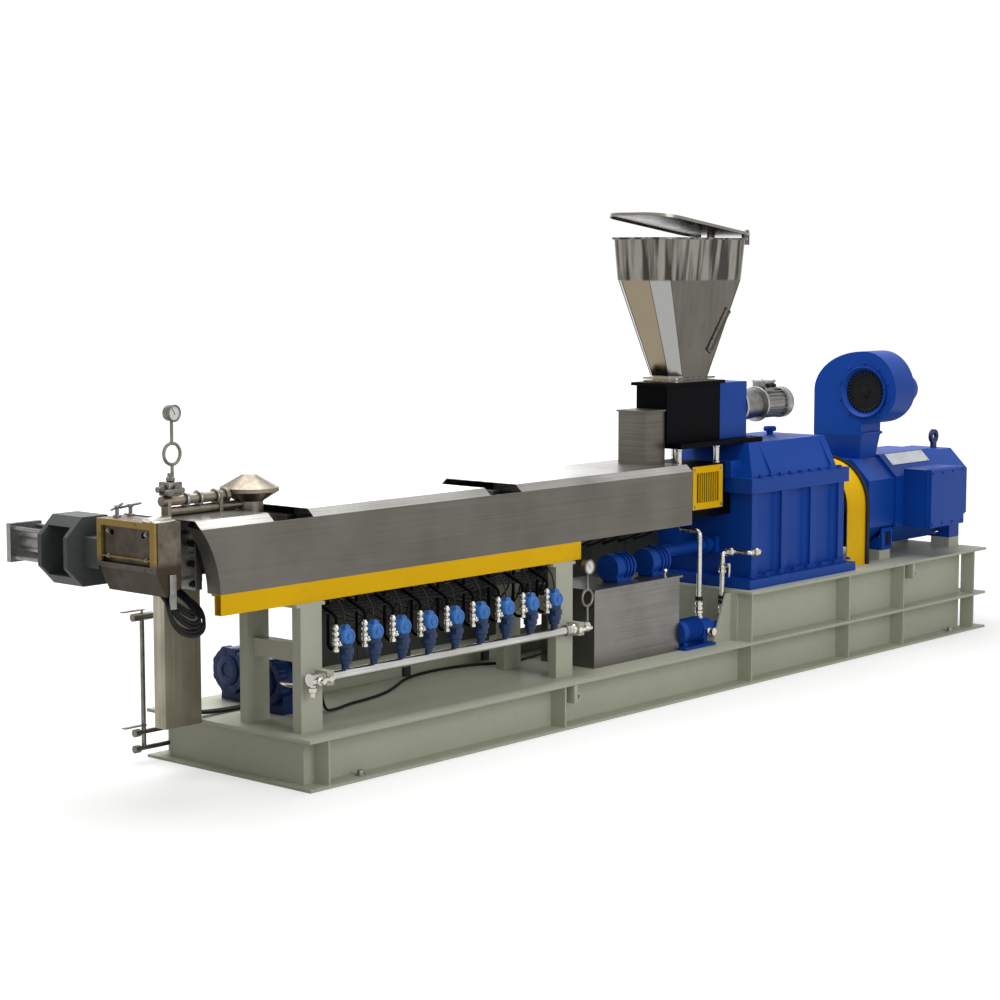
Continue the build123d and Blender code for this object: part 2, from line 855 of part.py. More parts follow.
def motor_body():
    """The eight-sided motor frame between two end bells."""
    bell_x = (motor_left_x + motor_end_bell, motor_right_x - motor_end_bell)
    main = prism_x(octagon(line_y, shaft_z, motor_half, motor_corner), *bell_x)
    half = motor_half - motor_end_shrink
    bell = octagon(line_y, shaft_z, half, motor_corner - 6)
    main += prism_x(bell, motor_left_x, motor_left_x + motor_end_bell)
    main += prism_x(bell, motor_right_x - motor_end_bell, motor_right_x)
    return main


def motor_feet():
    """Foot bars under both ends of the motor frame."""
    solids = []
    for x in (front_pad_x, rear_pad_x):
        y0, y1 = line_y - foot_half_width, line_y + foot_half_width
        z0 = raised_deck_z + pad_height
        body = block(x, x + foot_length, y0, y1, z0, motor_bottom_z + foot_lug_height)
        body -= prism_x(octagon(line_y, shaft_z, motor_half, motor_corner), x - 1, x + foot_length + 1)
        solids.append(body)
    return solids


def motor_pads():
    """Machined pads that raise the motor to the shaft height."""
    solids = []
    for x in (front_pad_x, rear_pad_x):
        for side in (-1, 1):
            outer = line_y + side * foot_half_width
            ys = sorted((outer, outer - side * pad_width))
            solids.append(block(x, x + foot_length, *ys, raised_deck_z, raised_deck_z + pad_height))
    return solids


def terminal_box():
    y1 = line_y - motor_half
    z1 = terminal_bottom_z + terminal_height
    return block(terminal_left_x, terminal_right_x, terminal_near_y, y1, terminal_bottom_z, z1)


def lifting_eye():
    """The flat ring that the motor is lifted by, on top of its end bell."""
    foot_z = shaft_z + motor_half - motor_end_shrink
    ring_z = foot_z + eye_shank + eye_ring_r
    half = eye_thickness / 2
    eye = rod_y(eye_x, eye_y - half, eye_y + half, ring_z, eye_ring_r)
    eye += block(eye_x - eye_hole_r, eye_x + eye_hole_r, eye_y - half, eye_y + half, foot_z, ring_z)
    return eye - rod_y(eye_x, eye_y - eye_thickness, eye_y + eye_thickness, ring_z, eye_hole_r)


def blower_scroll():
    """The spiral fan case: four arcs of growing radius, then the outlet duct down."""
    low, near, top, far = scroll_radii
    y, z = scroll_y, scroll_z
    with BuildPart() as scroll:
        with BuildSketch(Plane.YZ.offset(scroll_face_x)):
            with BuildLine():
                bottom = (y + scroll_outlet_y, z - low)
                a = (y, z - low)
                b = (y - near, z)
                c = (y, z + top)
                d = (y + far, z)
                e = (y + far, scroll_outlet_z)
                f = (y + scroll_outlet_y, scroll_outlet_z)
                Line(bottom, a)
                EllipticalCenterArc((y, z), near, low, start_angle=180, arc_size=90)
                EllipticalCenterArc((y, z), near, top, start_angle=90, arc_size=90)
                EllipticalCenterArc((y, z), far, top, start_angle=0, arc_size=90)
                Polyline(d, e, f, bottom)
            make_face()
        extrude(amount=scroll_depth)
    case = scroll.part
    return case - rod_x(scroll_face_x - 1, scroll_face_x + inlet_depth, y, z, inlet_r)


def blower_motor():
    x0 = scroll_face_x + scroll_depth
    body = rod_x(x0, x0 + blower_motor_length, scroll_y, scroll_z, blower_motor_r)
    return chamfer(body.edges().sort_by(Axis.X)[-1], 12)


def blower_neck():
    """The duct that narrows from the fan outlet down to the motor's top."""
    x = scroll_face_x + scroll_depth / 2
    y0, y1 = scroll_y + scroll_outlet_y, scroll_y + scroll_radii[3]
    top_z = scroll_outlet_z - neck_flange_height
    middle = (y0 + y1) / 2
    top = Plane((x, middle, top_z)) * Rectangle(scroll_depth, y1 - y0)
    foot_plane = Plane((x + neck_foot_shift, line_y, motor_top_z - motor_end_shrink))
    foot = foot_plane * Rectangle(scroll_depth - neck_foot_narrowing, 2 * neck_top_half)
    body = loft([foot.face(), top.face()])
    m = neck_flange_margin
    body += block(scroll_face_x, scroll_face_x + scroll_depth, y0 - m, y1, top_z, scroll_outlet_z)
    return body


# Feed section


def rounded_outline(length, width, corner, z):
    """A rectangle with round corners, centred on the hopper's axis."""
    return (Pos(hopper_x, line_y, z) * RectangleRounded(length, width, corner)).face()


def folded_outline(length, width, fold, z):
    """A rectangle with one flat across each corner, centred on the hopper's axis."""
    a, b = length / 2, width / 2
    corners = [(a, b - fold), (a - fold, b), (fold - a, b), (-a, b - fold)]
    corners += [(-a, fold - b), (fold - a, -b), (a - fold, -b), (a, fold - b)]
    return make_face(Polyline(*[(hopper_x + x, line_y + y, z) for x, y in corners], close=True))


def hopper_solid(inset, low_cut, high_cut):
    """The hopper's outer form, or its inside when an inset is given."""
    length, width = hopper_top_length - 2 * inset, hopper_top_width - 2 * inset
    rim = rounded_outline(length, width, hopper_corner_top - inset, hopper_rim_z)
    height = hopper_rim_z - hopper_band_z
    body = extrude(rim, amount=height, dir=(0, 0, -1), taper=degrees(atan(hopper_band_taper / height)))
    if high_cut:
        body += extrude(rim, amount=high_cut, dir=(0, 0, 1))
    narrow = 2 * (hopper_band_taper + inset)
    fold = hopper_fold_top - inset / 2
    mid = folded_outline(hopper_top_length - narrow, hopper_top_width - narrow, fold, hopper_band_z)
    fold = hopper_fold_foot - inset / 2
    length, width = hopper_foot_length - 2 * inset, hopper_foot_width - 2 * inset
    foot = folded_outline(length, width, fold, hopper_foot_z)
    body += loft([foot, mid], ruled=True)
    drop = hopper_foot_z - hopper_base_z + low_cut
    return body + extrude(foot, amount=drop, dir=(0, 0, -1))


def hopper_shell():
    """The hopper of rounded band and folded cone, with its rim, foot flanges and the two hinge ears."""
    body = hopper_solid(0, 0, 0)
    m = 2 * hopper_rim_width
    z = hopper_rim_z - hopper_rim_height
    corner = hopper_corner_top + hopper_rim_width
    rim = rounded_outline(hopper_top_length + m, hopper_top_width + m, corner, z)
    body += extrude(rim, amount=hopper_rim_height, dir=(0, 0, 1))
    m = 2 * hopper_flange_margin
    for z in (hopper_base_z, hopper_foot_z - hopper_flange_thickness):
        flange = folded_outline(hopper_foot_length + m, hopper_foot_width + m, hopper_flange_margin, z)
        body += extrude(flange, amount=hopper_flange_thickness / 2, dir=(0, 0, 1))
    body -= hopper_solid(hopper_sheet, 1, 1)
    for side in (-1, 1):
        y = line_y + side * hinge_spacing / 2
        y0, y1 = y - hinge_ear / 2, y + hinge_ear / 2
        x0, x1 = hinge_x - hinge_gap - 2, hinge_x + hinge_eye_r
        ear = block(x0, x1, y0, y1, hopper_rim_z - hinge_ear_drop, hinge_z)
        ear += rod_y(hinge_x, y0, y1, hinge_z, hinge_eye_r)
        body += ear - rod_y(hinge_x, y0 - 1, y1 + 1, hinge_z, hinge_pin_r + hinge_clearance)
    return body


def feed_chute():
    """The upright box that drops material through the cover into the barrel, with a lip round its top."""
    x0, x1 = trough_left_x - chute_length, trough_left_x
    y0, y1 = line_y - chute_half_width, line_y + chute_half_width
    z1 = cover_top_z + chute_height
    box = block(x0, x1, y0, y1, cover_top_z, z1)
    return box + block(x0 - chute_lip, x1, y0 - chute_lip, y1 + chute_lip, z1 - chute_lip, z1)


def feeder_trough():
    """The feeder's box with its hollow above the screw and a flange for the hopper."""
    half, wall = trough_half_width, trough_wall
    z0, z1 = platform_top_z, trough_top_z
    body = block(trough_left_x, trough_right_x, line_y - half, line_y + half, z0, z1)
    x0, x1 = trough_left_x - trough_flange_margin_x, trough_right_x + trough_flange_margin_x
    m = half + trough_flange_margin_y
    body += block(x0, x1, line_y - m, line_y + m, z1, z1 + trough_flange)
    x0, x1 = hopper_x - hopper_foot_length / 2 + wall, hopper_x + hopper_foot_length / 2 - wall
    y0, y1 = line_y + wall - half, line_y + half - wall
    return body - block(x0, x1, y0, y1, z0 + trough_floor, hopper_base_z + 1)


def feeder_platform():
    """The plate under the feeder, on the gear case at one end and on four rods at the other."""
    x0, x1 = platform_left_x, platform_right_x
    half = platform_half_width
    body = block(x0, x1, line_y - half, line_y + half, lid_top_z, platform_top_z)
    for x in platform_rod_places:
        for side in (-1, 1):
            body += rod_z(x, line_y + side * (lantern_half_width - 30), lantern_top_z, lid_top_z, rod_r)
    return body


def feeder_bracket():
    """The bearing box between trough and motor."""
    half = feeder_bracket_half
    x0 = trough_right_x
    return block(x0, x0 + feeder_bracket_length, line_y - half, line_y + half, platform_top_z, trough_top_z)


def feeder_motor():
    """Gear case with its cone flange, then a motor with fins along its body and a fan cover."""
    z = (platform_top_z + trough_top_z) / 2 + feeder_motor_lift
    x0 = trough_right_x + feeder_bracket_length
    cone = Pos(x0 + feeder_gear_length / 2, line_y, z) * Rot(0, 90, 0)
    body = cone * Cone(feeder_gear_r, feeder_motor_r - fin_height, feeder_gear_length)
    body += rod_x(x0, x0 + feeder_gear_flange, line_y, z, feeder_gear_flange_r)
    x1 = x0 + feeder_gear_length
    x2 = x1 + feeder_motor_length
    body += rod_x(x1, x2, line_y, z, feeder_motor_r - fin_height)
    body += rod_x(x2 - fan_cover_length, x2, line_y, z, feeder_motor_r)
    reach = feeder_motor_r - 1
    for i in range(fin_count):
        fin = Box(feeder_motor_length - fan_cover_length, 2 * fin_height, fin_thickness)
        turn = Rot(360 * i / fin_count, 0, 0) * Pos((x1 + x2 - fan_cover_length) / 2, reach - fin_height, 0)
        body += Pos(0, line_y, z) * turn * fin
    box_x = x1 + feeder_motor_length * 0.3
    return body + block(box_x - 45, box_x + 45, line_y - 40, line_y + 40, z, z + feeder_motor_r + 34)


def hopper_lid():
    """The tray-shaped lid with its hinge leaf and pin, made level and then raised to its propped place."""
    out = hopper_rim_width + lid_play
    length, width = hopper_top_length + 2 * out, hopper_top_width + 2 * out
    corner = hopper_corner_top + out
    z0 = hopper_rim_z + lid_rest_gap
    z1 = z0 + lid_sheet
    t = lid_sheet
    outer = rounded_outline(length + 2 * t, width + 2 * t, corner + t, z1 - lid_lip)
    inner = rounded_outline(length, width, corner, z1 - lid_lip)
    lid = extrude(outer, amount=lid_lip, dir=(0, 0, 1)) - extrude(inner, amount=lid_lip - t, dir=(0, 0, 1))
    cut_x = hinge_x - hinge_gap - lid_play
    far = hopper_x + length
    lid -= block(cut_x, far, line_y - width, line_y + width, z1 - 2 * lid_lip, z1 + lid_lip)
    reach = hinge_spacing / 2 - hinge_ear
    lid += block(cut_x - lid_leaf_width, hinge_x, line_y - reach, line_y + reach, z0, hinge_z)
    pin = hinge_spacing / 2 + hinge_ear
    lid += rod_y(hinge_x, line_y - pin, line_y + pin, hinge_z, hinge_pin_r)
    return lid.rotate(Axis((hinge_x, line_y, hinge_z), (0, 1, 0)), lid_open)


# Services


def tank():
    y1 = tank_near_y + tank_depth
    return block(tank_left_x, tank_right_x, tank_near_y, y1, low_deck_z, tank_top_z - tank_lid_thickness)


def tank_lid():
    m = tank_lid_margin
    y1 = tank_near_y + tank_depth
    z = (tank_top_z - tank_lid_thickness, tank_top_z)
    return block(tank_left_x - m, tank_right_x + m, tank_near_y - m, y1 + m, *z)


def tank_pumps():
    """Two pump motors on feet on the tank's lid, each with a fan cover and a cooling collar."""
    solids = []
    for x in tank_motor_places:
        z = tank_top_z + tank_motor_r
        end = x + tank_motor_length
        cover = x + tank_motor_length / 3
        r = tank_motor_r
        body = rod_x(x, cover, tank_motor_y, z, r - 4) + rod_x(cover, end, tank_motor_y, z, r - fin_height)
        for i in range(3):
            a = cover + (i + 1) * (end - cover) / 4
            body += rod_x(a, a + fin_height, tank_motor_y, z, r)
        half = tank_motor_foot / 2
        body += block(x + 20, end - 20, tank_motor_y - half, tank_motor_y + half, tank_top_z, z)
        solids.append(body)
    return solids


def oil_cooler():
    """The slim tube cooler under the lantern, capped at both ends, with its foot on the gear case."""
    x0, x1 = cooler_left_x, gearbox_left_x
    body = rod_x(x0, x1 - cooler_cap_length, cooler_y, cooler_z, cooler_r)
    for x in (x0, x1 - 3 * cooler_cap_length):
        body += rod_x(x, x + cooler_cap_length, cooler_y, cooler_z, cooler_cap_r)
    half = cooler_cap_r
    ys = cooler_y - half, cooler_y + half
    return body + block(x1 - cooler_cap_length, x1, *ys, cooler_z - half, cooler_z + half)


def valve_places():
    """Where the valves stand along the manifold."""
    return [valve_first_x + i * valve_pitch for i in range(valve_count)]


def manifold():
    """The water pipe in front of the posts, with a riser for every valve and a cap nut at both ends."""
    body = rod_x(manifold_left_x, manifold_right_x, manifold_y, manifold_z, manifold_r)
    for x in valve_places():
        body += rod_z(x, manifold_y, manifold_z, manifold_z + valve_riser, valve_riser_r)
    for x in (manifold_left_x, manifold_right_x - manifold_end_length):
        body += rod_x(x, x + manifold_end_length, manifold_y, manifold_z, manifold_r + 6)
    return body


def manifold_bracket(x):
    """The arm from a near post to the manifold, cut out round the pipe."""
    half = manifold_r + bracket_wall
    x0 = x + post_length - bracket_length
    x1 = x + post_length
    arm = block(x0, x1, manifold_y - half, near_post_face_y, manifold_z - half, manifold_z + half)
    return arm - rod_x(x0 - 1, x1 + 1, manifold_y, manifold_z, manifold_r)


def solenoid_valves():
    """Nine valves: a round body on its riser, the coil lying across it and the stepped outlet beside it."""
    solids = []
    z0 = manifold_z + valve_riser
    z1 = z0 + valve_body_height
    coil_z = z1 + coil_lift
    for x in valve_places():
        body = rod_z(x, manifold_y, z0, z1, valve_body_r)
        body += rod_z(x, manifold_y, z1, coil_z, valve_riser_r + 4)
        body += rod_y(x, manifold_y - coil_length / 2, manifold_y + coil_length / 2, coil_z, coil_r)
        outlet = x + valve_outlet_x
        mid_z = z0 + valve_body_height / 2
        body += rod_x(outlet - valve_outlet_r, x, manifold_y, mid_z, valve_outlet_r)
        body += rod_z(outlet, manifold_y, mid_z - valve_outlet_r, nipple_z, valve_outlet_r)
        solids.append(body)
    return solids


def barrel_side(x):
    """Where the barrel's near side is at a place along it, further out at the module flanges."""
    place = (x - barrel_front_x) % barrel_module_length
    reach = barrel_flange_thickness + cooling_pipe_r
    on_flange = place < reach or place > barrel_module_length - reach
    return line_y - (barrel_flange_half if on_flange else barrel_half_width)


def cooling_pipes():
    """Two thin black pipes from every valve, up inside the rail and into the barrel's side."""
    solids = []
    low_z = nipple_z
    rail_y = line_y - cover_half_width + rail_depth + cooling_pipe_gap
    for x in valve_places():
        first, second = x + valve_outlet_x, x + cooling_pipe_offset
        points = [(first, manifold_y, low_z), (first, manifold_y, low_z + cooling_pipe_lift)]
        points += [(first, rail_y, rail_bottom_z - cooling_pipe_gap), (first, rail_y, cooling_pipe_top_z)]
        points.append((first, barrel_side(first), cooling_pipe_top_z))
        solids.append(tube_along(points, cooling_pipe_bend, cooling_pipe_r))
        y = manifold_y + valve_body_r
        z = manifold_z + valve_riser + valve_body_height / 2
        points = [(second, y, z), (second, rail_y, z), (second, rail_y, cooling_pipe_low_z)]
        points.append((second, barrel_side(second), cooling_pipe_low_z))
        solids.append(tube_along(points, cooling_pipe_bend, cooling_pipe_r))
    return solids


def circulation_pumps():
    """Two motor pumps on feet on the low deck."""
    solids = []
    for place, y in circ_pump_places:
        x = -half_length + place
        z = low_deck_z + circ_pump_foot + circ_pump_r
        end = x + circ_pump_length
        body = rod_x(x, x + circ_pump_length / 3, y, z, circ_pump_r)
        body += rod_x(x + circ_pump_length / 3, end, y, z, circ_pump_r * 0.84)
        body += rod_x(end - circ_pump_foot, end, y, z, circ_pump_r * 0.95)
        half = circ_pump_foot_half
        body += block(x + 30, end - 30, y - half, y + half, low_deck_z, z)
        solids.append(body)
    return solids


def oil_pump():
    """The gear oil pump: motor, bell, pump body and two upright ports on one bed plate."""
    x0, x1 = pump_motor_left_x, pump_motor_right_x
    body = rod_x(x0, x1, pump_y, pump_z, pump_motor_r)
    body += rod_x(x1, x1 + pump_plate, pump_y, pump_z, pump_motor_r + 6)
    body += rod_x(x1, pump_body_right_x, pump_y, pump_z, pump_body_r)
    body += rod_x(x1, pump_outlet_x + pump_port_r, pump_y, pump_z, pump_port_r)
    for x in (pump_inlet_x, pump_outlet_x):
        body += rod_z(x, pump_y, pump_z, pump_port_z, pump_port_r)
    half = pump_plate_half
    deck = low_deck_z
    body += block(x0, pump_body_right_x, pump_y - half, pump_y + half, deck, deck + pump_plate)
    for x in (x0 + half / 2, pump_body_right_x - half):
        body += block(x, x + half / 2, pump_y - half / 2, pump_y + half / 2, deck + pump_plate, pump_z)
    return body


def oil_pipes():
    """The suction pipe down from under the lantern and the pressure pipe round to the gear case."""
    x = pump_inlet_x
    top = inlet_pipe_top_z
    inner_y = line_y - lantern_half_width + 2 * pipe_bend
    first = [(x, pump_y, pump_port_z), (x, pump_y, top), (x, inner_y, top), (x, inner_y, lantern_bottom_z)]
    x = pump_outlet_x
    z = outlet_pipe_top_z
    side_x = gearbox_left_x - 2 * pipe_bend
    out_y = outlet_pipe_out_y
    end_x = gearbox_left_x + gearbox_rib_width / 2
    second = [(x, pump_y, pump_port_z), (x, pump_y, z), (side_x, pump_y, z), (side_x, out_y, z)]
    second += [(end_x, out_y, z), (end_x, line_y - gearbox_half_width, z)]
    return tube_along(first, pipe_bend * 0.8, pipe_r), tube_along(second, pipe_bend * 0.5, pipe_r)


def vent():
    """The vacuum vent: a neck through the cover gap under a wide conical hat."""
    z = vent_rim_z
    neck = rod_z(vent_x, line_y, barrel_z + barrel_half_height, z - vent_skirt_height, vent_neck_r)
    skirt = Pos(vent_x, line_y, z - vent_skirt_height / 2) * Cone(vent_neck_r, vent_dome_r, vent_skirt_height)
    rim = rod_z(vent_x, line_y, z, z + vent_rim_height, vent_dome_r)
    middle = z + vent_rim_height + vent_cone_height / 2
    top = Pos(vent_x, line_y, middle) * Cone(vent_dome_r, vent_cap_r, vent_cone_height)
    return neck + skirt + rim + top


def vacuum_pipe():
    """The suction pipe from the vent back over the cover, on saddles, with the gauge's tee at its end."""
    r = vacuum_pipe_r
    y, z = vacuum_pipe_y, vacuum_pipe_z
    end = vent_x - vent_dome_r - vacuum_flange / 4
    body = rod_x(vacuum_pipe_left_x, end, y, z, r)
    body += rod_x(drain_pipe_left_x, vent_x - vent_neck_r / 2, y, cover_top_z + drain_pipe_r, drain_pipe_r)
    body += rod_x(end - vacuum_flange, end, y, z, r + vacuum_flange / 2)
    for x in (vacuum_pipe_left_x + vacuum_flange, end - 3 * vacuum_flange):
        body += block(x, x + vacuum_flange, y - r, y + r, cover_top_z, z)
    half = gauge_valve_r
    top = vacuum_tee_z
    return body + block(gauge_x - half, gauge_x + half, y - half, y + half, z, top) - vent()


def gauge():
    """The pressure gauge on a pigtail stem, standing on a three-way valve on the cover."""
    half = gauge_thickness / 2
    face = rod_y(gauge_x, line_y - half, line_y + half, gauge_z, gauge_r)
    ring = Pos(gauge_x, line_y, siphon_z) * Rot(90, 0, 0) * Torus(siphon_r, siphon_tube_r)
    stem = rod_z(gauge_x, line_y, siphon_z + siphon_r, gauge_z - gauge_r + 3, siphon_tube_r)
    foot = rod_z(gauge_x, line_y, vacuum_tee_z, siphon_z - siphon_r, siphon_tube_r)
    return face + ring + stem + foot


def cable_duct():
    """The upright sheet duct in front of the base, open at its top."""
    x1 = -half_length
    y1 = duct_near_y + duct_width
    x0 = x1 - duct_length
    t = duct_sheet
    duct = block(x0, x1, duct_near_y, y1, duct_bottom_z, duct_top_z)
    return duct - block(x0 + t, x1 - t, duct_near_y + t, y1 - t, duct_bottom_z + t, duct_top_z + 1)


def standpipe():
    """The water standpipe at the base's end: two feeds from the first stiffener, a riser and ball valves."""
    x, y, r = standpipe_x, standpipe_y, standpipe_r
    seat_x = stiffener_places()[0][0] - stiffener_thickness / 2
    body = rod_z(x, y, standpipe_low_z, standpipe_top_z, r)
    for z in standpipe_feeds:
        body += rod_x(x - standpipe_reach, seat_x, y, z, r)
        body += rod_x(x - standpipe_reach, x - standpipe_reach / 2, y, z, standpipe_valve_r)
    z = standpipe_top_z
    body += rod_x(x - standpipe_reach, x + standpipe_reach, y, z, standpipe_valve_r)
    for z in (standpipe_top_z, standpipe_feeds[-1]):
        top = z + standpipe_valve_r + r
        body += rod_z(x, y, z, top, r / 2)
        body += block(x - standpipe_handle, x + r, y - r, y + r, top, top + r / 2)
    return body


def water_gauge():
    """The manifold's gauge on its pigtail stem."""
    x, y = water_gauge_x, water_gauge_y
    face = rod_y(x, y - 14, y + 14, water_gauge_z, water_gauge_r)
    ring = Pos(x, y, water_siphon_z) * Rot(90, 0, 0) * Torus(siphon_r * 0.9, siphon_tube_r)
    face += rod_z(x, y, water_siphon_z + siphon_r * 0.9, water_gauge_z - water_gauge_r + 3, siphon_tube_r)
    stem = rod_z(x, y, manifold_z, water_siphon_z - siphon_r * 0.9, siphon_tube_r)
    return face + ring + stem + rod_x(manifold_right_x, x, y, manifold_z, siphon_tube_r)


part_nodes = {}


def keep(name, *solids):
    """Files one node away under its name."""
    part_nodes[name] = solids[0] if len(solids) == 1 else Compound(children=list(solids))


keep("side_beams", side_beam(-1), side_beam(1))
keep("raised_webs", raised_web(-1), raised_web(1))
keep("low_deck", low_deck())
keep("raised_deck", raised_deck())
keep("cross_members", *cross_members())
keep("riser_plates", *riser_plates())
keep("barrel_supports", support(front_post_x), support(rear_post_x))
keep("cover_rails", rail(-1, rail_left_x), rail(1, front_post_x))
keep("barrel", barrel())
keep("side_covers", cover_side(-1), cover_side(1))
keep("top_covers", *cover_top())

keep("screen_changer", screen_changer())
keep("die_adapter", die_adapter())
keep("slide_yoke", slide_yoke())
keep("slide_ram", *slide_ram())
keep("lantern_housing", lantern())
keep("lantern_guards", *lantern_guards())
keep("gearbox_housing", gearbox_housing())
keep("gearbox_lid", gearbox_lid())
keep("coupling_guard", coupling_guard())
keep("shaft_coupling", shaft_coupling())
keep("motor_body", motor_body())
keep("motor_feet", *motor_feet())
keep("motor_pads", *motor_pads())
keep("terminal_box", terminal_box())
keep("lifting_eye", lifting_eye())
keep("blower_scroll", blower_scroll())
keep("blower_motor", blower_motor())
keep("blower_neck", blower_neck())

keep("feed_chute", feed_chute())
keep("feeder_platform", feeder_platform())
keep("feeder_trough", feeder_trough())
keep("feeder_bracket", feeder_bracket())
keep("feeder_motor", feeder_motor())
keep("hopper_shell", hopper_shell())
keep("hopper_lid", hopper_lid())

keep("tank", tank())
keep("tank_lid", tank_lid())
keep("tank_pumps", *tank_pumps())
keep("oil_cooler", oil_cooler())
keep("oil_pump", oil_pump())
keep("oil_pipes", *oil_pipes())
keep("water_manifold", manifold())
keep("solenoid_valves", *solenoid_valves())
keep("cooling_pipes", *cooling_pipes())
keep("circulation_pumps", *circulation_pumps())
keep("vent_hood", vent())
keep("vacuum_pipe", vacuum_pipe())
keep("gauges", gauge(), water_gauge())
keep("cable_duct", cable_duct())
keep("standpipe", standpipe())

for node_name, shape in part_nodes.items():
    export_step(shape, f"parts/{node_name}.step")
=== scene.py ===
# %% [markdown]
# # A plastic compounding extruder
# This script dresses a finished CAD model of a twin-screw extruder. The CAD model gives every size and
# place, and here the machine gets its finishes, its small fittings, a floor, light and a camera.
# One unit is one metre. The origin is on the floor under the middle of the base, +X runs to the motor,
# and -Y is the side where the operator stands.

# %% Load the frame
from math import cos, pi, radians, sin

import bmesh
import bpy
from mathutils import Matrix, Vector


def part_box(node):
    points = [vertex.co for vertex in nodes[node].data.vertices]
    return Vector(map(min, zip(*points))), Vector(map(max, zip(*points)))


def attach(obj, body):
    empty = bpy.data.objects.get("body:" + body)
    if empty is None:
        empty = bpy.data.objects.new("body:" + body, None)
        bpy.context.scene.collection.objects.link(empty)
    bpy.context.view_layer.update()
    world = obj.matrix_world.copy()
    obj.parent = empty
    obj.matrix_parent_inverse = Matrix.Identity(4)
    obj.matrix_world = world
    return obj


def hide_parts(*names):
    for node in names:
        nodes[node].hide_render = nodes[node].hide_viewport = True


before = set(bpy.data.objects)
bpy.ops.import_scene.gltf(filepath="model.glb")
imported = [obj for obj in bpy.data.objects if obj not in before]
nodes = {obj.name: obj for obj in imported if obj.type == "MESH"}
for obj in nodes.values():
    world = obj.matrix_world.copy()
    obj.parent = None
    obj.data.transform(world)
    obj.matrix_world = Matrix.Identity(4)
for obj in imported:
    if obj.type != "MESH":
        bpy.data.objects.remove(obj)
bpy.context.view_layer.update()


def new_object(name, data):
    """Puts a new object with the given data into the scene."""
    thing = bpy.data.objects.new(name, data)
    bpy.context.scene.collection.objects.link(thing)
    return thing


# %% [markdown]
# ## The camera
# The photograph looks along the machine from the front left, a little above the covers. The long
# edges of the base and those across it meet at two points on one level line, and those two points
# fix the lens, the height of the eye and the direction. No shift is needed.

# %% The camera
eye = Vector((-8.8377, -6.9022, 2.15))
turn, drop = radians(41.35), radians(6.2)
gaze = Vector((cos(turn) * cos(drop), sin(turn) * cos(drop), -sin(drop)))
camera_data = bpy.data.cameras.new("view")
camera_data.sensor_width = 36
camera_data.lens = 80.17
camera_data.clip_end = 200
camera = new_object("view", camera_data)
camera.location = eye
camera.rotation_euler = gaze.to_track_quat("-Z", "Y").to_euler()
bpy.context.scene.camera = camera
bpy.context.scene.view_settings.view_transform = "Standard"
print("camera at", tuple(round(v, 3) for v in eye))

# %% [markdown]
# ## Small helpers for materials
# Colours are picked as they look on a screen, in sRGB, and Blender counts in linear light, so one
# function turns the one into the other. The next one adds a node, fills in its inputs, joins its
# links and sets its own fields, so that a material reads as a list of what it is made of. Its Mix
# nodes always mix colours. The last two start a material and tell the rays that reach the eye
# straight or mirrored from all others.

# %% Colour and node helpers
def tone(code):
    """A linear colour with alpha from an sRGB hex code such as 2a57a3."""
    parts = [int(code[i:i + 2], 16) / 255 for i in (0, 2, 4)]
    return [p / 12.92 if p <= 0.04045 else ((p + 0.055) / 1.055) ** 2.4 for p in parts] + [1]


def add(tree, kind, values=None, links=None, **fields):
    """Adds one node with input values, links and fields. A linked node gives its first output."""
    node = tree.nodes.new("ShaderNode" + kind)
    if kind == "Mix":
        node.data_type = "RGBA"
    for field, value in fields.items():
        setattr(node, field, value)
    for name, value in (values or {}).items():
        node.inputs[name].default_value = value
    for name, source in (links or {}).items():
        socket = source.outputs[0] if isinstance(source, bpy.types.Node) else source
        tree.links.new(socket, node.inputs[name])
    return node


def blank(name):
    """Starts a material and gives it back with its tree, its shader and its coordinate outputs."""
    material = bpy.data.materials.new(name)
    material.use_nodes = True
    tree = material.node_tree
    return material, tree, tree.nodes["Principled BSDF"], add(tree, "TexCoord").outputs


def seen_directly(tree):
    """One for rays from the camera, off a shine or through glass, and nought for all others."""
    path = add(tree, "LightPath").outputs
    seen = add(tree, "Math", links={0: path["Is Camera Ray"], 1: path["Is Glossy Ray"]},
        operation="MAXIMUM")
    return add(tree, "Math", links={0: seen, 1: path["Is Transmission Ray"]}, operation="MAXIMUM")


print("1b3f8b in linear light:", [round(v, 3) for v in tone("1b3f8b")[:3]])

# %% [markdown]
# ## The floor and the light
# A machine hall has light from above on all sides, so the tops are bright and the sides are calm.
# Here that is one wide lamp over the machine, a weaker one on the near side, a small one on the far
# side and an even sky. The sky is full white to the eye and in polished metal, and gives the paint
# only a third of that light. The floor glows white to the eye in the same way, least at the machine.

# %% The floor
bpy.ops.object.select_all(action="DESELECT")
bpy.ops.mesh.primitive_plane_add(size=60, location=(0, 0, 0))
floor = bpy.context.object
floor.name = "floor"
floor_paint, tree, shader, place = blank("sealed_concrete_floor")
shader.inputs["Base Color"].default_value = tone("bdbdbb")
shader.inputs["Roughness"].default_value = 0.9
shader.inputs["Specular IOR Level"].default_value = 0.1
away = add(tree, "VectorMath", links={0: place["Object"]}, operation="LENGTH")
glow = add(tree, "MapRange", {"From Min": 3.5, "From Max": 11, "To Min": 0.55, "To Max": 1},
    {"Value": away.outputs["Value"]})
glow = add(tree, "Math", links={0: glow, 1: seen_directly(tree)}, operation="MULTIPLY")
shader.inputs["Emission Color"].default_value = (1, 1, 1, 1)
tree.links.new(glow.outputs[0], shader.inputs["Emission Strength"])
floor.data.materials.append(floor_paint)
print("floor", floor.dimensions.x, "m wide")

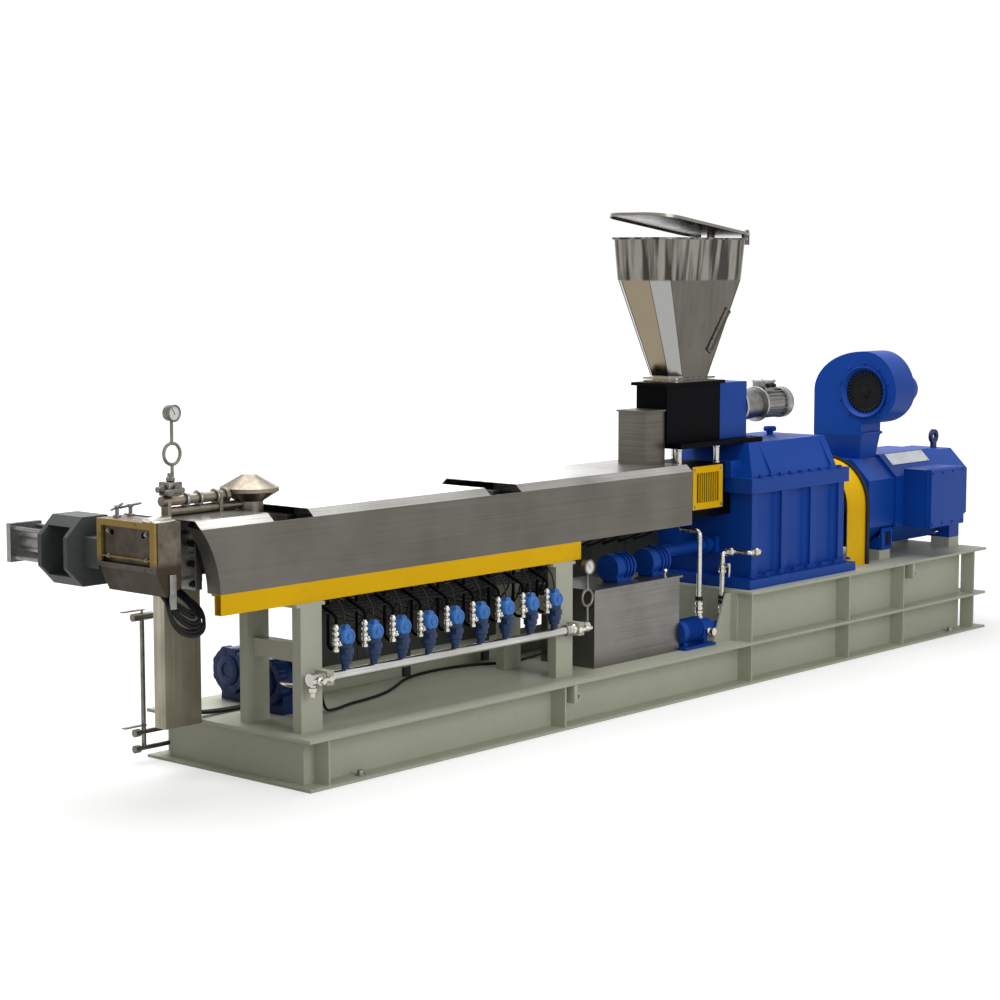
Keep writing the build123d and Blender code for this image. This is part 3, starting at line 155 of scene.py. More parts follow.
# %% The sky and the lamps
world = bpy.data.worlds.new("hall_light")
world.use_nodes = True
bpy.context.scene.world = world
tree = world.node_tree
level = add(tree, "MapRange", {"To Min": 0.33, "To Max": 1}, {"Value": seen_directly(tree)})
tree.links.new(level.outputs[0], tree.nodes["Background"].inputs["Strength"])
tree.nodes["Background"].inputs["Color"].default_value = (1, 1, 1, 1)

lamps = (("hall_roof", (-0.5, 1.6, 7.5), (0, 0, 0.6), 7, 640),
         ("door_side", (-1.5, -9, 4.5), (-0.2, -0.2, 0.7), 5, 260),
         ("far_side", (5, 7, 4), (0.5, 0.2, 0.8), 4, 120))
for name, place, aim, size, power in lamps:
    lamp = bpy.data.lights.new(name, "AREA")
    lamp.size = size
    lamp.energy = power
    holder = new_object(name, lamp)
    holder.location = place
    holder.rotation_euler = (Vector(aim) - Vector(place)).to_track_quat("-Z", "Y").to_euler()
    print("lamp", name, power, "watts")

# %% [markdown]
# ## Finishes: sprayed enamel
# The base, the drive and the guards are steel with sprayed enamel. Enamel is not one flat colour. It
# is a little uneven from coat to coat, it has the fine dimples of a spray gun, called orange peel,
# and dust and hands change its gloss. Every edge of painted plate is slightly round, which a Bevel
# node gives to the light without changing the CAD mesh. One function makes all the enamels, and the
# one before it, which bare metal needs too, joins colour, gloss and relief to the shader.

# %% Enamel
def skin(tree, shader, colour, gloss, level, height, depth, dent, round_mm):
    """Joins colour, gloss between two levels, and fine relief on rounded edges to a shader."""
    tree.links.new(colour.outputs[2], shader.inputs["Base Color"])
    gloss = add(tree, "MapRange", {"To Min": level[0], "To Max": level[1]}, {"Value": gloss})
    tree.links.new(gloss.outputs[0], shader.inputs["Roughness"])
    edge = add(tree, "Bevel", {"Radius": round_mm / 1000}, samples=4)
    bump = add(tree, "Bump", {"Strength": depth, "Distance": dent}, {"Height": height, "Normal": edge})
    tree.links.new(bump.outputs[0], shader.inputs["Normal"])


def enamel(name, light, dark, roughness, coat, patch_mm=420, peel_mm=7, grime=0.25, round_mm=2.5,
        shine=0.25):
    """Sprayed paint: two near tones in patches, grime in fine specks, orange peel and round edges."""
    material, tree, shader, source = blank(name)
    place = source["Object"]
    patch = add(tree, "TexNoise", {"Scale": 1000 / patch_mm, "Detail": 3}, {"Vector": place})
    colour = add(tree, "Mix", {6: tone(light), 7: tone(dark)}, {0: patch})
    speck = add(tree, "TexNoise", {"Scale": 1000 / 38, "Detail": 6, "Roughness": 0.7}, {"Vector": place})
    spots = add(tree, "MapRange", {"From Min": 0.56, "From Max": 0.8, "To Max": grime}, {"Value": speck})
    soiled = add(tree, "Mix", {7: tone("4c4740")}, {0: spots, 6: colour.outputs[2]})
    peel = add(tree, "TexNoise", {"Scale": 1000 / peel_mm, "Detail": 1}, {"Vector": place})
    skin(tree, shader, soiled, speck, (roughness - 0.07, roughness + 0.12), peel, 0.1, 0.0006, round_mm)
    shader.inputs["Coat Weight"].default_value = coat
    shader.inputs["Coat Roughness"].default_value = 0.12
    shader.inputs["Specular IOR Level"].default_value = shine
    print("enamel", name)
    return material


frame_enamel = enamel("grey_green_enamel", "bfc1af", "b0b3a1", 0.55, 0.05, grime=0.18)
yellow_enamel = enamel("safety_yellow_enamel", "f6c604", "e8b203", 0.45, 0, grime=0.12, shine=0.12)
blue_enamel = enamel("machine_blue_enamel", "0b49aa", "083a90", 0.4, 0, grime=0.08, shine=0.16)
deep_blue = enamel("deep_blue_pump_enamel", "0a2a63", "061c46", 0.4, 0, patch_mm=90, grime=0.15)
black_enamel = enamel("satin_black_enamel", "07080b", "040507", 0.45, 0, grime=0.05, shine=0.03)
primer_enamel = enamel("grey_green_primer_on_casting", "666c69", "33383a", 0.5, 0, peel_mm=11, grime=0.4)

# %% [markdown]
# ## Finishes: stainless sheet and machined steel
# Brushed sheet carries fine scratches along the way that it was ground, here along the machine. A
# noise that is stretched a few hundred times along one axis gives them. Real scratches are a tenth of
# a millimetre wide, far under one pixel, so they are drawn a few millimetres wide. Ground and
# polished sheet still shows soft clouds where the wheel pressed more or less.

# %% Metal
def steel(name, light, dark, low, high, streaks, cloud_mm=260, depth=0.15, round_mm=1.5):
    """Bare metal: stretched scratches, soft clouds of colour and gloss, and round edges."""
    material, tree, shader, source = blank(name)
    shader.inputs["Metallic"].default_value = 1
    place = source["Object"]
    along = add(tree, "Mapping", {"Scale": streaks}, {"Vector": place})
    scratch = add(tree, "TexNoise", {"Scale": 1, "Detail": 4, "Roughness": 0.65}, {"Vector": along})
    cloud = add(tree, "TexNoise", {"Scale": 1000 / cloud_mm, "Detail": 3}, {"Vector": place})
    both = add(tree, "Math", links={0: scratch, 1: cloud}, operation="ADD")
    part = add(tree, "MapRange", {"From Min": 0.7, "From Max": 1.3}, {"Value": both})
    colour = add(tree, "Mix", {6: tone(light), 7: tone(dark)}, {0: part})
    skin(tree, shader, colour, part, (low, high), scratch, depth, 0.0008, round_mm)
    print("metal", name)
    return material


# The side and top covers are the same ground stainless: the side copy is painted darker as shade and the top
# copy is painted lighter as light.
cover_side_sheet_painted_shade = steel("ground_stainless_side_sheet_painted_shade", "6c6963", "5e5b54", 0.36, 0.5, (1.2, 260, 260))
cover_top_sheet_painted_light = steel("ground_stainless_top_sheet_painted_light", "b9b8b4", "8f8d88", 0.22, 0.4, (1.2, 160, 160))
chute_sheet = steel("dull_stainless_chute_sheet", "6d6a62", "56534b", 0.3, 0.46, (2, 2, 90))
duct_sheet = steel("oiled_steel_duct_sheet", "a8a393", "857f6f", 0.34, 0.55, (60, 60, 1.5))
tank_sheet = steel("brushed_stainless_tank_sheet", "85837f", "6d6b67", 0.3, 0.46, (1.5, 160, 160))
bright_pipe = steel("polished_stainless_pipe", "c9c8c4", "a7a5a0", 0.16, 0.3, (1.5, 90, 90))
dull_pipe = steel("weathered_stainless_pipe", "8f8678", "6a6258", 0.3, 0.46, (30, 30, 30))
machined = steel("machined_steel", "8f8f8d", "72716e", 0.28, 0.45, (40, 40, 40))

# %% [markdown]
# The hopper is folded from polished sheet. Its straight band shows upright stripes that are a painted
# reflection of the hall. Each side of the cone is a sheet of its own and is given painted light by the
# way it faces: the end sheet is painted lighter and warmer, the long one is greyer, and the bent corner
# strips carry a painted highlight. The face's own direction, which does not change with the view,
# chooses between them. The head is steel that was painted ochre at its mouth and has gone brown and blue
# with heat behind it; the recess behind its rim is painted dark as shade, and its lower part is darker.

# %% Hopper and head
def folded_sheet_with_painted_light():
    """Polished sheet with painted light: its tone follows the side that it faces, the corner strips carry a
    painted highlight, and upright stripes in the band are a painted reflection.
    """
    material = steel("polished_hopper_sheet_painted_light", "65625c", "57544e", 0.16, 0.3, (30, 30, 2), depth=0.04)
    tree = material.node_tree
    shader = tree.nodes["Principled BSDF"]
    plain = shader.inputs["Base Color"].links[0].from_socket
    source = add(tree, "TexCoord")
    face = add(tree, "SeparateXYZ", links={0: source.outputs["Normal"]})
    place = add(tree, "SeparateXYZ", links={0: source.outputs["Object"]})
    ahead = add(tree, "Math", links={0: face.outputs["X"]}, operation="ABSOLUTE")
    aside = add(tree, "Math", links={0: face.outputs["Y"]}, operation="ABSOLUTE")
    # Painted light by the face's direction: the end sheet is painted lighter and warmer, and the corner
    # strips, where the face turns between X and Y, get a painted highlight.
    end_face_light_mask = add(tree, "MapRange", {"From Min": 0.72, "From Max": 0.8}, {"Value": ahead})
    corner = add(tree, "Math", links={0: ahead, 1: aside}, operation="MULTIPLY")
    corner = add(tree, "MapRange", {"From Min": 0.24, "From Max": 0.3}, {"Value": corner})
    painted_end_light = add(tree, "Mix", {7: tone("8a7f6c")}, {0: end_face_light_mask, 6: plain})
    cone = add(tree, "Mix", {7: tone("9d9d9c")}, {0: corner, 6: painted_end_light.outputs[2]})
    # Painted reflection: upright dark and light stripes above the cone's top edge stand in for the hall
    # mirrored in the band.
    upright = add(tree, "Mapping", {"Scale": (26, 26, 0.8)}, {"Vector": source.outputs["Object"]})
    reflection_stripe = add(tree, "TexNoise", {"Scale": 1, "Detail": 2}, {"Vector": upright})
    reflection_stripe = add(tree, "MapRange", {"From Min": 0.4, "From Max": 0.6}, {"Value": reflection_stripe})
    painted_band_reflection = add(tree, "Mix", {6: tone("3a3733"), 7: tone("85827b")}, {0: reflection_stripe})
    above = add(tree, "MapRange", {"From Min": 2.035, "From Max": 2.045}, {"Value": place.outputs["Z"]})
    whole = add(tree, "Mix", links={0: above, 6: cone.outputs[2], 7: painted_band_reflection.outputs[2]})
    tree.links.new(whole.outputs[2], shader.inputs["Base Color"])
    return material


def mouth_paint():
    """Heat-tinted steel with ochre paint left on the rim of the head's mouth, painted shade in the recess
    behind the rim, and darker towards the bottom.
    """
    material = steel("heat_tinted_head_steel", "7b7266", "4a4238", 0.4, 0.62, (14, 14, 14), cloud_mm=70)
    tree = material.node_tree
    shader = tree.nodes["Principled BSDF"]
    steel_tone = shader.inputs["Base Color"].links[0].from_socket
    source = add(tree, "TexCoord")
    place = add(tree, "SeparateXYZ", links={0: source.outputs["Object"]})
    worn = add(tree, "TexNoise", {"Scale": 40, "Detail": 4}, {"Vector": source.outputs["Object"]})
    rim = add(tree, "MapRange", {"From Min": -3.3215, "From Max": -3.3235}, {"Value": place.outputs["X"]})
    left = add(tree, "MapRange", {"From Min": 0.3, "From Max": 0.42}, {"Value": worn})
    paint = add(tree, "Math", links={0: rim, 1: left}, operation="MULTIPLY")
    colour = add(tree, "Mix", {7: tone("9a7c26")}, {0: paint, 6: steel_tone})
    # Painted shade: the narrow recess between the rim and the mouth is painted dark brown. Below height 0.955
    # the steel is also darker towards the bottom.
    low = add(tree, "MapRange", {"From Min": 0.985, "From Max": 0.955}, {"Value": place.outputs["Z"]})
    behind = add(tree, "MapRange", {"From Min": -3.3225, "From Max": -3.3205},
        {"Value": place.outputs["X"]})
    mouth = add(tree, "MapRange", {"From Min": -3.312, "From Max": -3.316}, {"Value": place.outputs["X"]})
    painted_recess_shade = add(tree, "Math", links={0: behind, 1: mouth}, operation="MULTIPLY")
    dark = add(tree, "Math", links={0: painted_recess_shade, 1: low}, operation="MAXIMUM")
    colour = add(tree, "Mix", {7: tone("3b3128")}, {0: dark, 6: colour.outputs[2]})
    bare_metal = add(tree, "MapRange", {"To Min": 0.85, "To Max": 0.1}, {"Value": paint})
    tree.links.new(colour.outputs[2], shader.inputs["Base Color"])
    tree.links.new(bare_metal.outputs[0], shader.inputs["Metallic"])
    return material


pipe_steel = steel("weathered_pipe_steel", "85827b", "5f5c56", 0.3, 0.48, (20, 20, 20), cloud_mm=90)
lid_sheet = steel("polished_lid_sheet", "8d8a84", "716e68", 0.2, 0.34, (3, 60, 60), cloud_mm=300)
hopper_sheet_painted_light = folded_sheet_with_painted_light()
heated = mouth_paint()

# %% [markdown]
# ## Finishes onto the CAD nodes
# A CAD node keeps its mesh and only gets a better material. Every node is named once here, so that
# none keeps the plain colour that it came with.

# %% Dress the CAD nodes
finishes = (
    (frame_enamel, "side_beams raised_webs low_deck raised_deck cross_members riser_plates "
                   "barrel_supports motor_pads"),
    (yellow_enamel, "cover_rails lantern_guards coupling_guard"),
    (blue_enamel, "gearbox_housing gearbox_lid motor_body motor_feet terminal_box blower_scroll blower_motor "
                  "blower_neck feeder_bracket oil_cooler oil_pump tank_pumps"),
    (deep_blue, "circulation_pumps lifting_eye"),
    (black_enamel, "feeder_trough feeder_platform cooling_pipes lantern_housing"),
    (primer_enamel, "slide_yoke"),
    (cover_side_sheet_painted_shade, "side_covers"),
    (cover_top_sheet_painted_light, "top_covers"),
    (hopper_sheet_painted_light, "hopper_shell"),
    (lid_sheet, "hopper_lid"),
    (chute_sheet, "feed_chute"),
    (tank_sheet, "tank tank_lid"),
    (duct_sheet, "cable_duct"),
    (dull_pipe, "vent_hood vacuum_pipe"),
    (bright_pipe, "water_manifold oil_pipes solenoid_valves"),
    (pipe_steel, "standpipe gauges"),
    (machined, "feeder_motor barrel die_adapter shaft_coupling slide_ram"),
    (heated, "screen_changer"),
)
dressed = 0
for material, names in finishes:
    for name in names.split():
        for slot in nodes[name].material_slots:
            slot.material = material
        dressed += 1
print("dressed", dressed, "of", len(nodes), "nodes")

# %% [markdown]
# ## Finishes for the fittings
# The fittings bring finishes of their own. Nickel-plated brass is bright and a little warm, zinc is
# duller and the gauges' steel duller still. Moulded nylon on the valve coils is smooth with a soft
# shine, the castings under them are deep blue, rubber and soot-black paint hardly shine, and the
# dials are white enamel under glass.

# %% Finishes for the fittings
gauge_steel = steel("dulled_gauge_steel", "77746e", "55524d", 0.3, 0.45, (40, 40, 40), round_mm=0.6)
plated = steel("nickel_plated_brass", "d8d5cc", "b9b4a8", 0.16, 0.3, (30, 30, 30), round_mm=0.6)
zinc_bolt = steel("zinc_plated_bolt", "b4b4b0", "8f8f8a", 0.28, 0.45, (60, 60, 60), round_mm=0.5)
coil_nylon = enamel("moulded_blue_nylon", "3f86d6", "2b68b8", 0.32, 0.25, patch_mm=60, peel_mm=3, grime=0.1)
valve_paint = enamel("deep_blue_casting_enamel", "1b3a68", "0f2240", 0.42, 0.2, patch_mm=50, grime=0.3)
# This black is paint on studs, gauge marks, the guard mesh and the window pane, and painted shade in the
# blower's case and in the motor foot's pocket.
black_paint_and_painted_shade = enamel("matt_black_paint_and_painted_shade", "0c0d10", "07080a", 0.8, 0, grime=0.02)
rubber = enamel("black_rubber", "1c1c1e", "141416", 0.6, 0, patch_mm=80, grime=0.15)
dial_white = enamel("white_dial_enamel", "f2f2ee", "e6e6e0", 0.3, 0.6, grime=0)

# %% [markdown]
# ## How the pieces are made
# Small parts are modelled by hand steps: a primitive is added, faces are picked by their place and
# inset, extruded or bevelled. Small helpers keep that short. They leave edit mode, choose one piece,
# open its mesh, pick faces of it by a test and push them in or out. The last one gives the finished
# piece its name, finish and smooth faces, and lets it ride on the machine.

# %% Helpers for modelling
def bare():
    """Leaves edit mode and deselects everything."""
    if bpy.context.object and bpy.context.object.mode == "EDIT":
        bpy.ops.object.mode_set(mode="OBJECT")
    bpy.ops.object.select_all(action="DESELECT")


def choose(piece):
    """Makes one piece the active object and the only one selected."""
    bare()
    piece.select_set(True)
    bpy.context.view_layer.objects.active = piece


def open_mesh(piece):
    """Opens the mesh of one piece for editing, with all of it selected."""
    choose(piece)
    bpy.ops.object.mode_set(mode="EDIT")
    bpy.ops.mesh.select_all(action="SELECT")


def pick(test):
    """Selects the faces of the mesh in edit mode whose centre and normal pass a test."""
    bpy.ops.mesh.select_all(action="DESELECT")
    mesh = bmesh.from_edit_mesh(bpy.context.edit_object.data)
    for face in mesh.faces:
        face.select_set(bool(test(face.calc_center_median(), face.normal)))
    bmesh.update_edit_mesh(bpy.context.edit_object.data)


def push(rim, step):
    """Insets the picked faces by a rim and pushes the inner part by a step."""
    bpy.ops.mesh.inset(thickness=rim)
    bpy.ops.mesh.extrude_region_move(TRANSFORM_OT_translate={"value": step})


def settle(piece, name, material, body="machine"):
    """Puts a finished piece at the origin and gives it its name, finish, smooth faces and body."""
    choose(piece)
    bpy.ops.object.transform_apply(location=True, rotation=True, scale=True)
    piece.name = name
    piece.data.materials.clear()
    piece.data.materials.append(material)
    bpy.ops.object.shade_smooth_by_angle(angle=radians(35))
    bare()
    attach(piece, body)


print("modelling helpers ready")

# %% [markdown]
# Many fittings are round: knobs, flanges, dials, motor covers. On the real machine they are turned on
# a lathe, and here they are too: half of the outline is drawn from the axis outwards and spun a full
# turn. Outlines are in millimetres, as on a lathe drawing. The pole points fall together and are
# merged, and the normals are made to point outwards.

# %% Turned pieces and copies
def turned(outline, steps=32):
    """A round piece about the Z axis from its half outline of (radius, height) points in millimetres."""
    mesh = bpy.data.meshes.new("turned")
    edges = [(i, i + 1) for i in range(len(outline) - 1)]
    mesh.from_pydata([(r / 1000, 0, z / 1000) for r, z in outline], edges, [])
    piece = new_object("turned", mesh)
    open_mesh(piece)
    bpy.ops.mesh.spin(steps=steps, angle=2 * pi, center=(0, 0, 0), axis=(0, 0, 1))
    bpy.ops.mesh.select_all(action="SELECT")
    bpy.ops.mesh.remove_doubles(threshold=0.00002)
    bpy.ops.mesh.normals_make_consistent(inside=False)
    bare()
    return piece


def at(piece, place, way=(0, 0, 1), roll=0):
    """Moves a piece's mesh so that its Z axis points along a way from a place."""
    turn = Vector((0, 0, 1)).rotation_difference(Vector(way)).to_matrix().to_4x4()
    piece.data.transform(Matrix.Translation(place) @ turn @ Matrix.Rotation(roll, 4, "Z"))
    return piece


def merge(parts):
    """Joins several objects into the first, whose origin stays at the scene's."""
    bare()
    for part in parts:
        part.select_set(True)
    bpy.context.view_layer.objects.active = parts[0]
    bpy.ops.object.transform_apply(location=True, rotation=True, scale=True)
    bpy.ops.object.join()
    bare()
    return parts[0]


def twin(model):
    """A second object like a model, with a mesh of its own."""
    return new_object("copy", model.data.copy())


def spread(model, spots):
    """Copies a model to every (place, way) and joins the copies. The model itself goes."""
    copies = [at(twin(model), place, way) for place, way in spots]
    bpy.data.objects.remove(model)
    return merge(copies)


def bolt(width, height):
    """A hexagon bolt head on its washer, in millimetres, at the origin with its top towards +Z."""
    width, height = width / 1000, height / 1000
    bare()
    bpy.ops.mesh.primitive_cylinder_add(vertices=16, radius=width * 0.95, depth=height * 0.3,
        location=(0, 0, height * 0.15))
    washer = bpy.context.object
    bare()
    bpy.ops.mesh.primitive_cylinder_add(vertices=6, radius=width * 0.66, depth=height,
        location=(0, 0, height * 0.75))
    head = bpy.context.object
    open_mesh(head)
    pick(lambda c, n: n.z > 0.9)
    bpy.ops.mesh.bevel(offset=width * 0.08, segments=1, affect="EDGES")
    return merge([washer, head])


near, up, down = (0, -1, 0), (0, 0, 1), (0, 0, -1)
front, back = (-1, 0, 0), (1, 0, 0)
line_y = -0.11
print("the machine's line is at y", line_y)

# %% [markdown]
# ## Plates, rows and rings
# Covers, brackets and boxes start as a cube at its real size whose edges are bevelled like folded or
# ground plate. Bolts stand in rows along a flange or in rings around one, so two helpers give their
# places. Cables and thin pipes are drawn through a few given points.

# %% Helpers for plates, bolt places and cables
def plate(x, y, z, soft=0.002):
    """A block between two values on each axis, with its edges bevelled."""
    bare()
    bpy.ops.mesh.primitive_cube_add(size=1, location=((x[0] + x[1]) / 2, (y[0] + y[1]) / 2,
        (z[0] + z[1]) / 2))
    piece = bpy.context.object
    piece.scale = (abs(x[1] - x[0]), abs(y[1] - y[0]), abs(z[1] - z[0]))
    bpy.ops.object.transform_apply(location=True, rotation=True, scale=True)
    if soft:
        open_mesh(piece)
        bpy.ops.mesh.bevel(offset=soft, segments=2, affect="EDGES")
    bare()
    return piece


def row(start, end, count, way):
    """Places for bolts in a straight row."""
    a, b = Vector(start), Vector(end)
    return [(tuple(a.lerp(b, i / (count - 1))), way) for i in range(count)]


def ring(centre, radius, count, way, first=0):
    """Places for bolts in a ring around a way."""
    turn = Vector((0, 0, 1)).rotation_difference(Vector(way))
    spots = []
    for i in range(count):
        angle = first + 2 * pi * i / count
        spot = turn @ Vector((cos(angle), sin(angle), 0)) * radius
        spots.append((tuple(Vector(centre) + spot), way))
    return spots


def tube(points, radius, sides=4):
    """A thin pipe or cable along a smooth line through given points, made a mesh."""
    curve = bpy.data.curves.new("tube", "CURVE")
    curve.dimensions = "3D"
    curve.bevel_depth = radius
    curve.bevel_resolution = sides
    curve.resolution_u = 6
    curve.use_fill_caps = True
    line = curve.splines.new("NURBS")
    line.points.add(len(points) - 1)
    for point, place in zip(line.points, points):
        point.co = (*place, 1)
    line.order_u = 3
    line.use_endpoint_u = True
    holder = new_object("tube", curve)
    choose(holder)
    bpy.ops.object.convert(target="MESH")
    return bpy.context.object


print("a ring of four:", [tuple(round(v, 2) for v in spot) for spot, way in ring((0, 0, 0), 1, 4, near)])

# %% [markdown]
# ## The cooling valves
# Nine solenoid valves stand on the water pipe and cool the barrel's zones. Each one is a cast body on
# a hexagon union, a round coil lying across it in a nylon case, and a stack of plated nuts and an
# elbow beside it that lead to the thin pipes. They stand in the CAD node's place, valve by valve, so
# one valve is modelled at the origin and copied along the pipe.

# %% The valve bodies
valve_xs = [-2.44 + 0.168 * i for i in range(9)]
pipe_y, pipe_z = -0.42, 0.441
valve_spots = [((x, pipe_y, pipe_z), up) for x in valve_xs]
body = turned([(0, 18), (17, 18), (17, 40), (26, 42), (26, 58), (31.5, 62), (31.5, 82), (27, 88), (27, 104),
    (31.5, 110), (31.5, 126), (24, 131), (16, 134), (16, 150), (0, 150)], 20)
bare()
bpy.ops.mesh.primitive_cylinder_add(vertices=6, radius=0.03, depth=0.018, location=(0, 0, 0.073))
collar = bpy.context.object
bare()
bpy.ops.mesh.primitive_cube_add(size=1, location=(0, 0, 0.096))
block = bpy.context.object
block.scale = (0.05, 0.058, 0.024)
open_mesh(block)
bpy.ops.mesh.bevel(offset=0.06, segments=2, affect="EDGES")
bodies = spread(merge([body, collar, block]), valve_spots)
settle(bodies, "valve_castings", valve_paint)
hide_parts("solenoid_valves")
print("valve bodies:", len(bodies.data.polygons), "faces")

# %% The coils
coil = at(turned([(0, -29), (26, -29), (34, -25), (36, -19), (36, -8), (34.5, -6), (34.5, 6), (36, 8),
    (36, 20), (33, 26), (24, 29), (24, 27), (12, 27), (12, 31), (0, 31)], 28), (0, 0, 0), near)
plug = plate((-0.015, 0.015), (-0.017, 0.017), (0.025, 0.043), 0)
open_mesh(plug)
pick(lambda c, n: n.z > 0.9)
push(0.004, (0, 0, 0.005))
coil_z = pipe_z + 0.156
coils = spread(merge([coil, plug]), [((x, pipe_y, coil_z), up) for x in valve_xs])
settle(coils, "valve_coils", coil_nylon)
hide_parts("solenoid_valves")
print("coils at height", round(coil_z, 3))

# %% The plated nuts and elbows
nut = turned([(0, 0), (11, 0), (15, 3), (15, 14), (11, 17), (8, 18), (8, 22), (13.5, 25), (15.5, 32),
    (13.5, 39), (8, 42), (8, 46), (12, 48), (14, 55), (12, 62), (7.5, 65), (7.5, 70), (0, 70)], 14)
elbow = turned([(0, 0), (10, 0), (14, 4), (14, 12), (10, 16), (9, 24), (0, 24)], 14)
bare()
bpy.ops.mesh.primitive_uv_sphere_add(segments=14, ring_count=8, radius=0.0155, location=(0, 0, 0))
ball = bpy.context.object
out_x = -0.052
at(nut, (out_x, 0, 0.141))
at(elbow, (out_x + 0.01, 0, 0.13), (1, 0, -0.35))
at(ball, (out_x, 0, 0.13))
low = at(turned([(0, 0), (9, 0), (9, 20), (14, 22), (14, 34), (9, 36), (0, 36)], 12), (out_x, 0, 0.132),
    down)
fittings = spread(merge([nut, elbow, ball, low]), valve_spots)
settle(fittings, "valve_fittings", plated)
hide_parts("solenoid_valves")
print("fittings:", len(fittings.data.polygons), "faces")

# %% [markdown]
# ## Bolts and trim on the drive
# The gear case is split at its shafts, and heavy bolts hold the two halves along the flange. Two
# smaller ones stand at the split's left end, and two rows hold the case to the deck. They are painted
# over with the case, so they take its blue.

# %% Gear case bolts
low, high = (Vector(corner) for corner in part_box("gearbox_housing"))
split_top = 1.032
spots = []
for y in (line_y - 0.308, line_y + 0.308):
    spots += row((0.55, y, split_top), (1.28, y, split_top), 9, up)
settle(spread(bolt(24, 14), spots), "gear_case_split_bolts", blue_enamel)
spots = row((0.54, -0.365, 1.0405), (0.54, 0.145, 1.0405), 2, up)
for y in (low.y + 0.022, high.y - 0.022):
    spots += row((low.x + 0.04, y, 0.5325), (high.x - 0.04, y, 0.5325), 8, up)
settle(spread(bolt(17, 10), spots), "gear_case_base_bolts", blue_enamel)
print("gear case from", [round(v, 3) for v in low], "to", [round(v, 3) for v in high])

# %% [markdown]
# The lid carries a round breather and a bolted inspection cover. The motor has bolts round its end
# and on its feet, a screwed lid on its terminal box, and a lug on its front foot whose pocket holds a
# black plate as painted shade.

# %% Lid fittings
lid_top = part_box("gearbox_lid")[1][2]
cap = at(turned([(0, 0), (30, 0), (30, 10), (18, 14), (18, 30), (34, 34), (36, 50), (30, 60), (0, 62)], 24),
    (1.16, -0.05, lid_top - 0.016))
hatch = plate((0.8, 1.02), (-0.2, -0.02), (lid_top - 0.013, lid_top - 0.004), 0.002)
hatch_bolts = spread(bolt(10, 6), [((x, y, lid_top - 0.004), up) for x in (0.815, 0.91, 1.005)
    for y in (-0.187, -0.033)])
settle(merge([cap, hatch, hatch_bolts]), "gear_lid_fittings", blue_enamel)
print("lid top at", round(lid_top, 3))

# %% The motor's bolts, box screws and foot lug
spots = ring((1.69, line_y, 0.795), 0.205, 8, front, radians(22.5))
settle(spread(bolt(16, 10), spots), "motor_end_bolts", blue_enamel)
box_low, box_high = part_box("terminal_box")
lip = plate((box_low[0] - 0.004, box_high[0] + 0.004), (box_low[1] + 0.02, box_low[1] + 0.03),
    (box_low[2] - 0.004, box_high[2] + 0.004), 0.002)
spots = []
for z in (box_high[2] - 0.018, box_low[2] + 0.018):
    spots += row((box_low[0] + 0.018, box_low[1] + 0.0005, z), (box_high[0] - 0.018, box_low[1] + 0.0005, z),
        4, near)
settle(merge([lip, spread(bolt(9, 5), spots)]), "terminal_box_trim", blue_enamel)
feet = [((x, y, 0.5985), up) for x in (1.858, 1.912, 2.618, 2.672) for y in (-0.322, 0.102)]
settle(spread(bolt(14, 12), feet), "motor_foot_bolts", zinc_bolt)
cheek = plate((1.832, 1.938), (-0.352, -0.339), (0.5275, 0.65), 0.003)
open_mesh(cheek)
pick(lambda c, n: n.y < -0.9)
push(0.022, (0, 0.008, 0))
settle(cheek, "motor_foot_cheek", blue_enamel)
# Painted shade: a black plate in the lug's pocket.
settle(plate((1.858, 1.912), (-0.3465, -0.3435), (0.554, 0.624), 0.001), "motor_foot_pocket_painted_shade", black_paint_and_painted_shade)
print("terminal box", [round(v, 3) for v in box_low], [round(v, 3) for v in box_high])

# %% [markdown]
# A pale metal panel lies on the motor's sloped side. It is left bare, with screws at its edge. The
# feeder's motor has a flange with bolts, a joint ring, a lid and glands on its box, and a fan cover.

# %% Motor panel and feeder motor
panel = plate((-0.2, 0.2), (-0.04, 0.04), (0, 0.003), 0.001)
screws = spread(bolt(6, 3), [((x, y, 0.003), up) for x in (-0.188, 0, 0.188) for y in (-0.031, 0.031)])
panel = merge([panel, screws])
panel_metal = steel("bare_anodised_panel", "cdd1d6", "b7bbc0", 0.35, 0.5, (60, 4, 60), round_mm=0.6)
settle(at(panel, (2.2, -0.281, 1.0185), (0, -1, 1)), "motor_bare_panel", panel_metal)
axis_z = 1.38
flange = at(turned([(90, 0), (108, 0), (110, 3), (110, 13), (108, 16), (86, 16)], 40),
    (0.7145, line_y, axis_z), back)
joint = at(turned([(71, 0), (92, 0), (94, 3), (94, 13), (92, 16), (71, 16)], 40), (0.926, line_y, axis_z),
    back)
rear = at(turned([(79, 0), (83.5, 2), (83.5, 40), (78, 47), (60, 49.5), (58, 47.5), (46, 47.5), (44, 49.5),
    (30, 49.5), (28, 47.5), (12, 47.5), (0, 49.5)], 40), (1.138, line_y, axis_z), back)
bolts = spread(bolt(9, 7), ring((0.7305, line_y, axis_z), 0.099, 8, back, radians(22.5))
    + ring((0.942, line_y, axis_z), 0.083, 6, back))
cover = plate((0.959, 1.059), (line_y - 0.045, line_y + 0.045), (1.4935, 1.502), 0.002)
tips = spread(bolt(5, 4), [((x, y, 1.502), up) for x in (0.967, 1.051)
    for y in (line_y - 0.037, line_y + 0.037)])
settle(merge([flange, joint, rear, bolts, cover, tips]), "feeder_motor_fittings", zinc_bolt)
gland = turned([(0, 0), (12, 0), (12, 8), (9, 10), (9, 22), (0, 24)], 12)
settle(spread(gland, [((x, line_y - 0.0395, 1.476), near) for x in (0.988, 1.03)]), "feeder_motor_glands",
    rubber)
print("panel and feeder motor done")

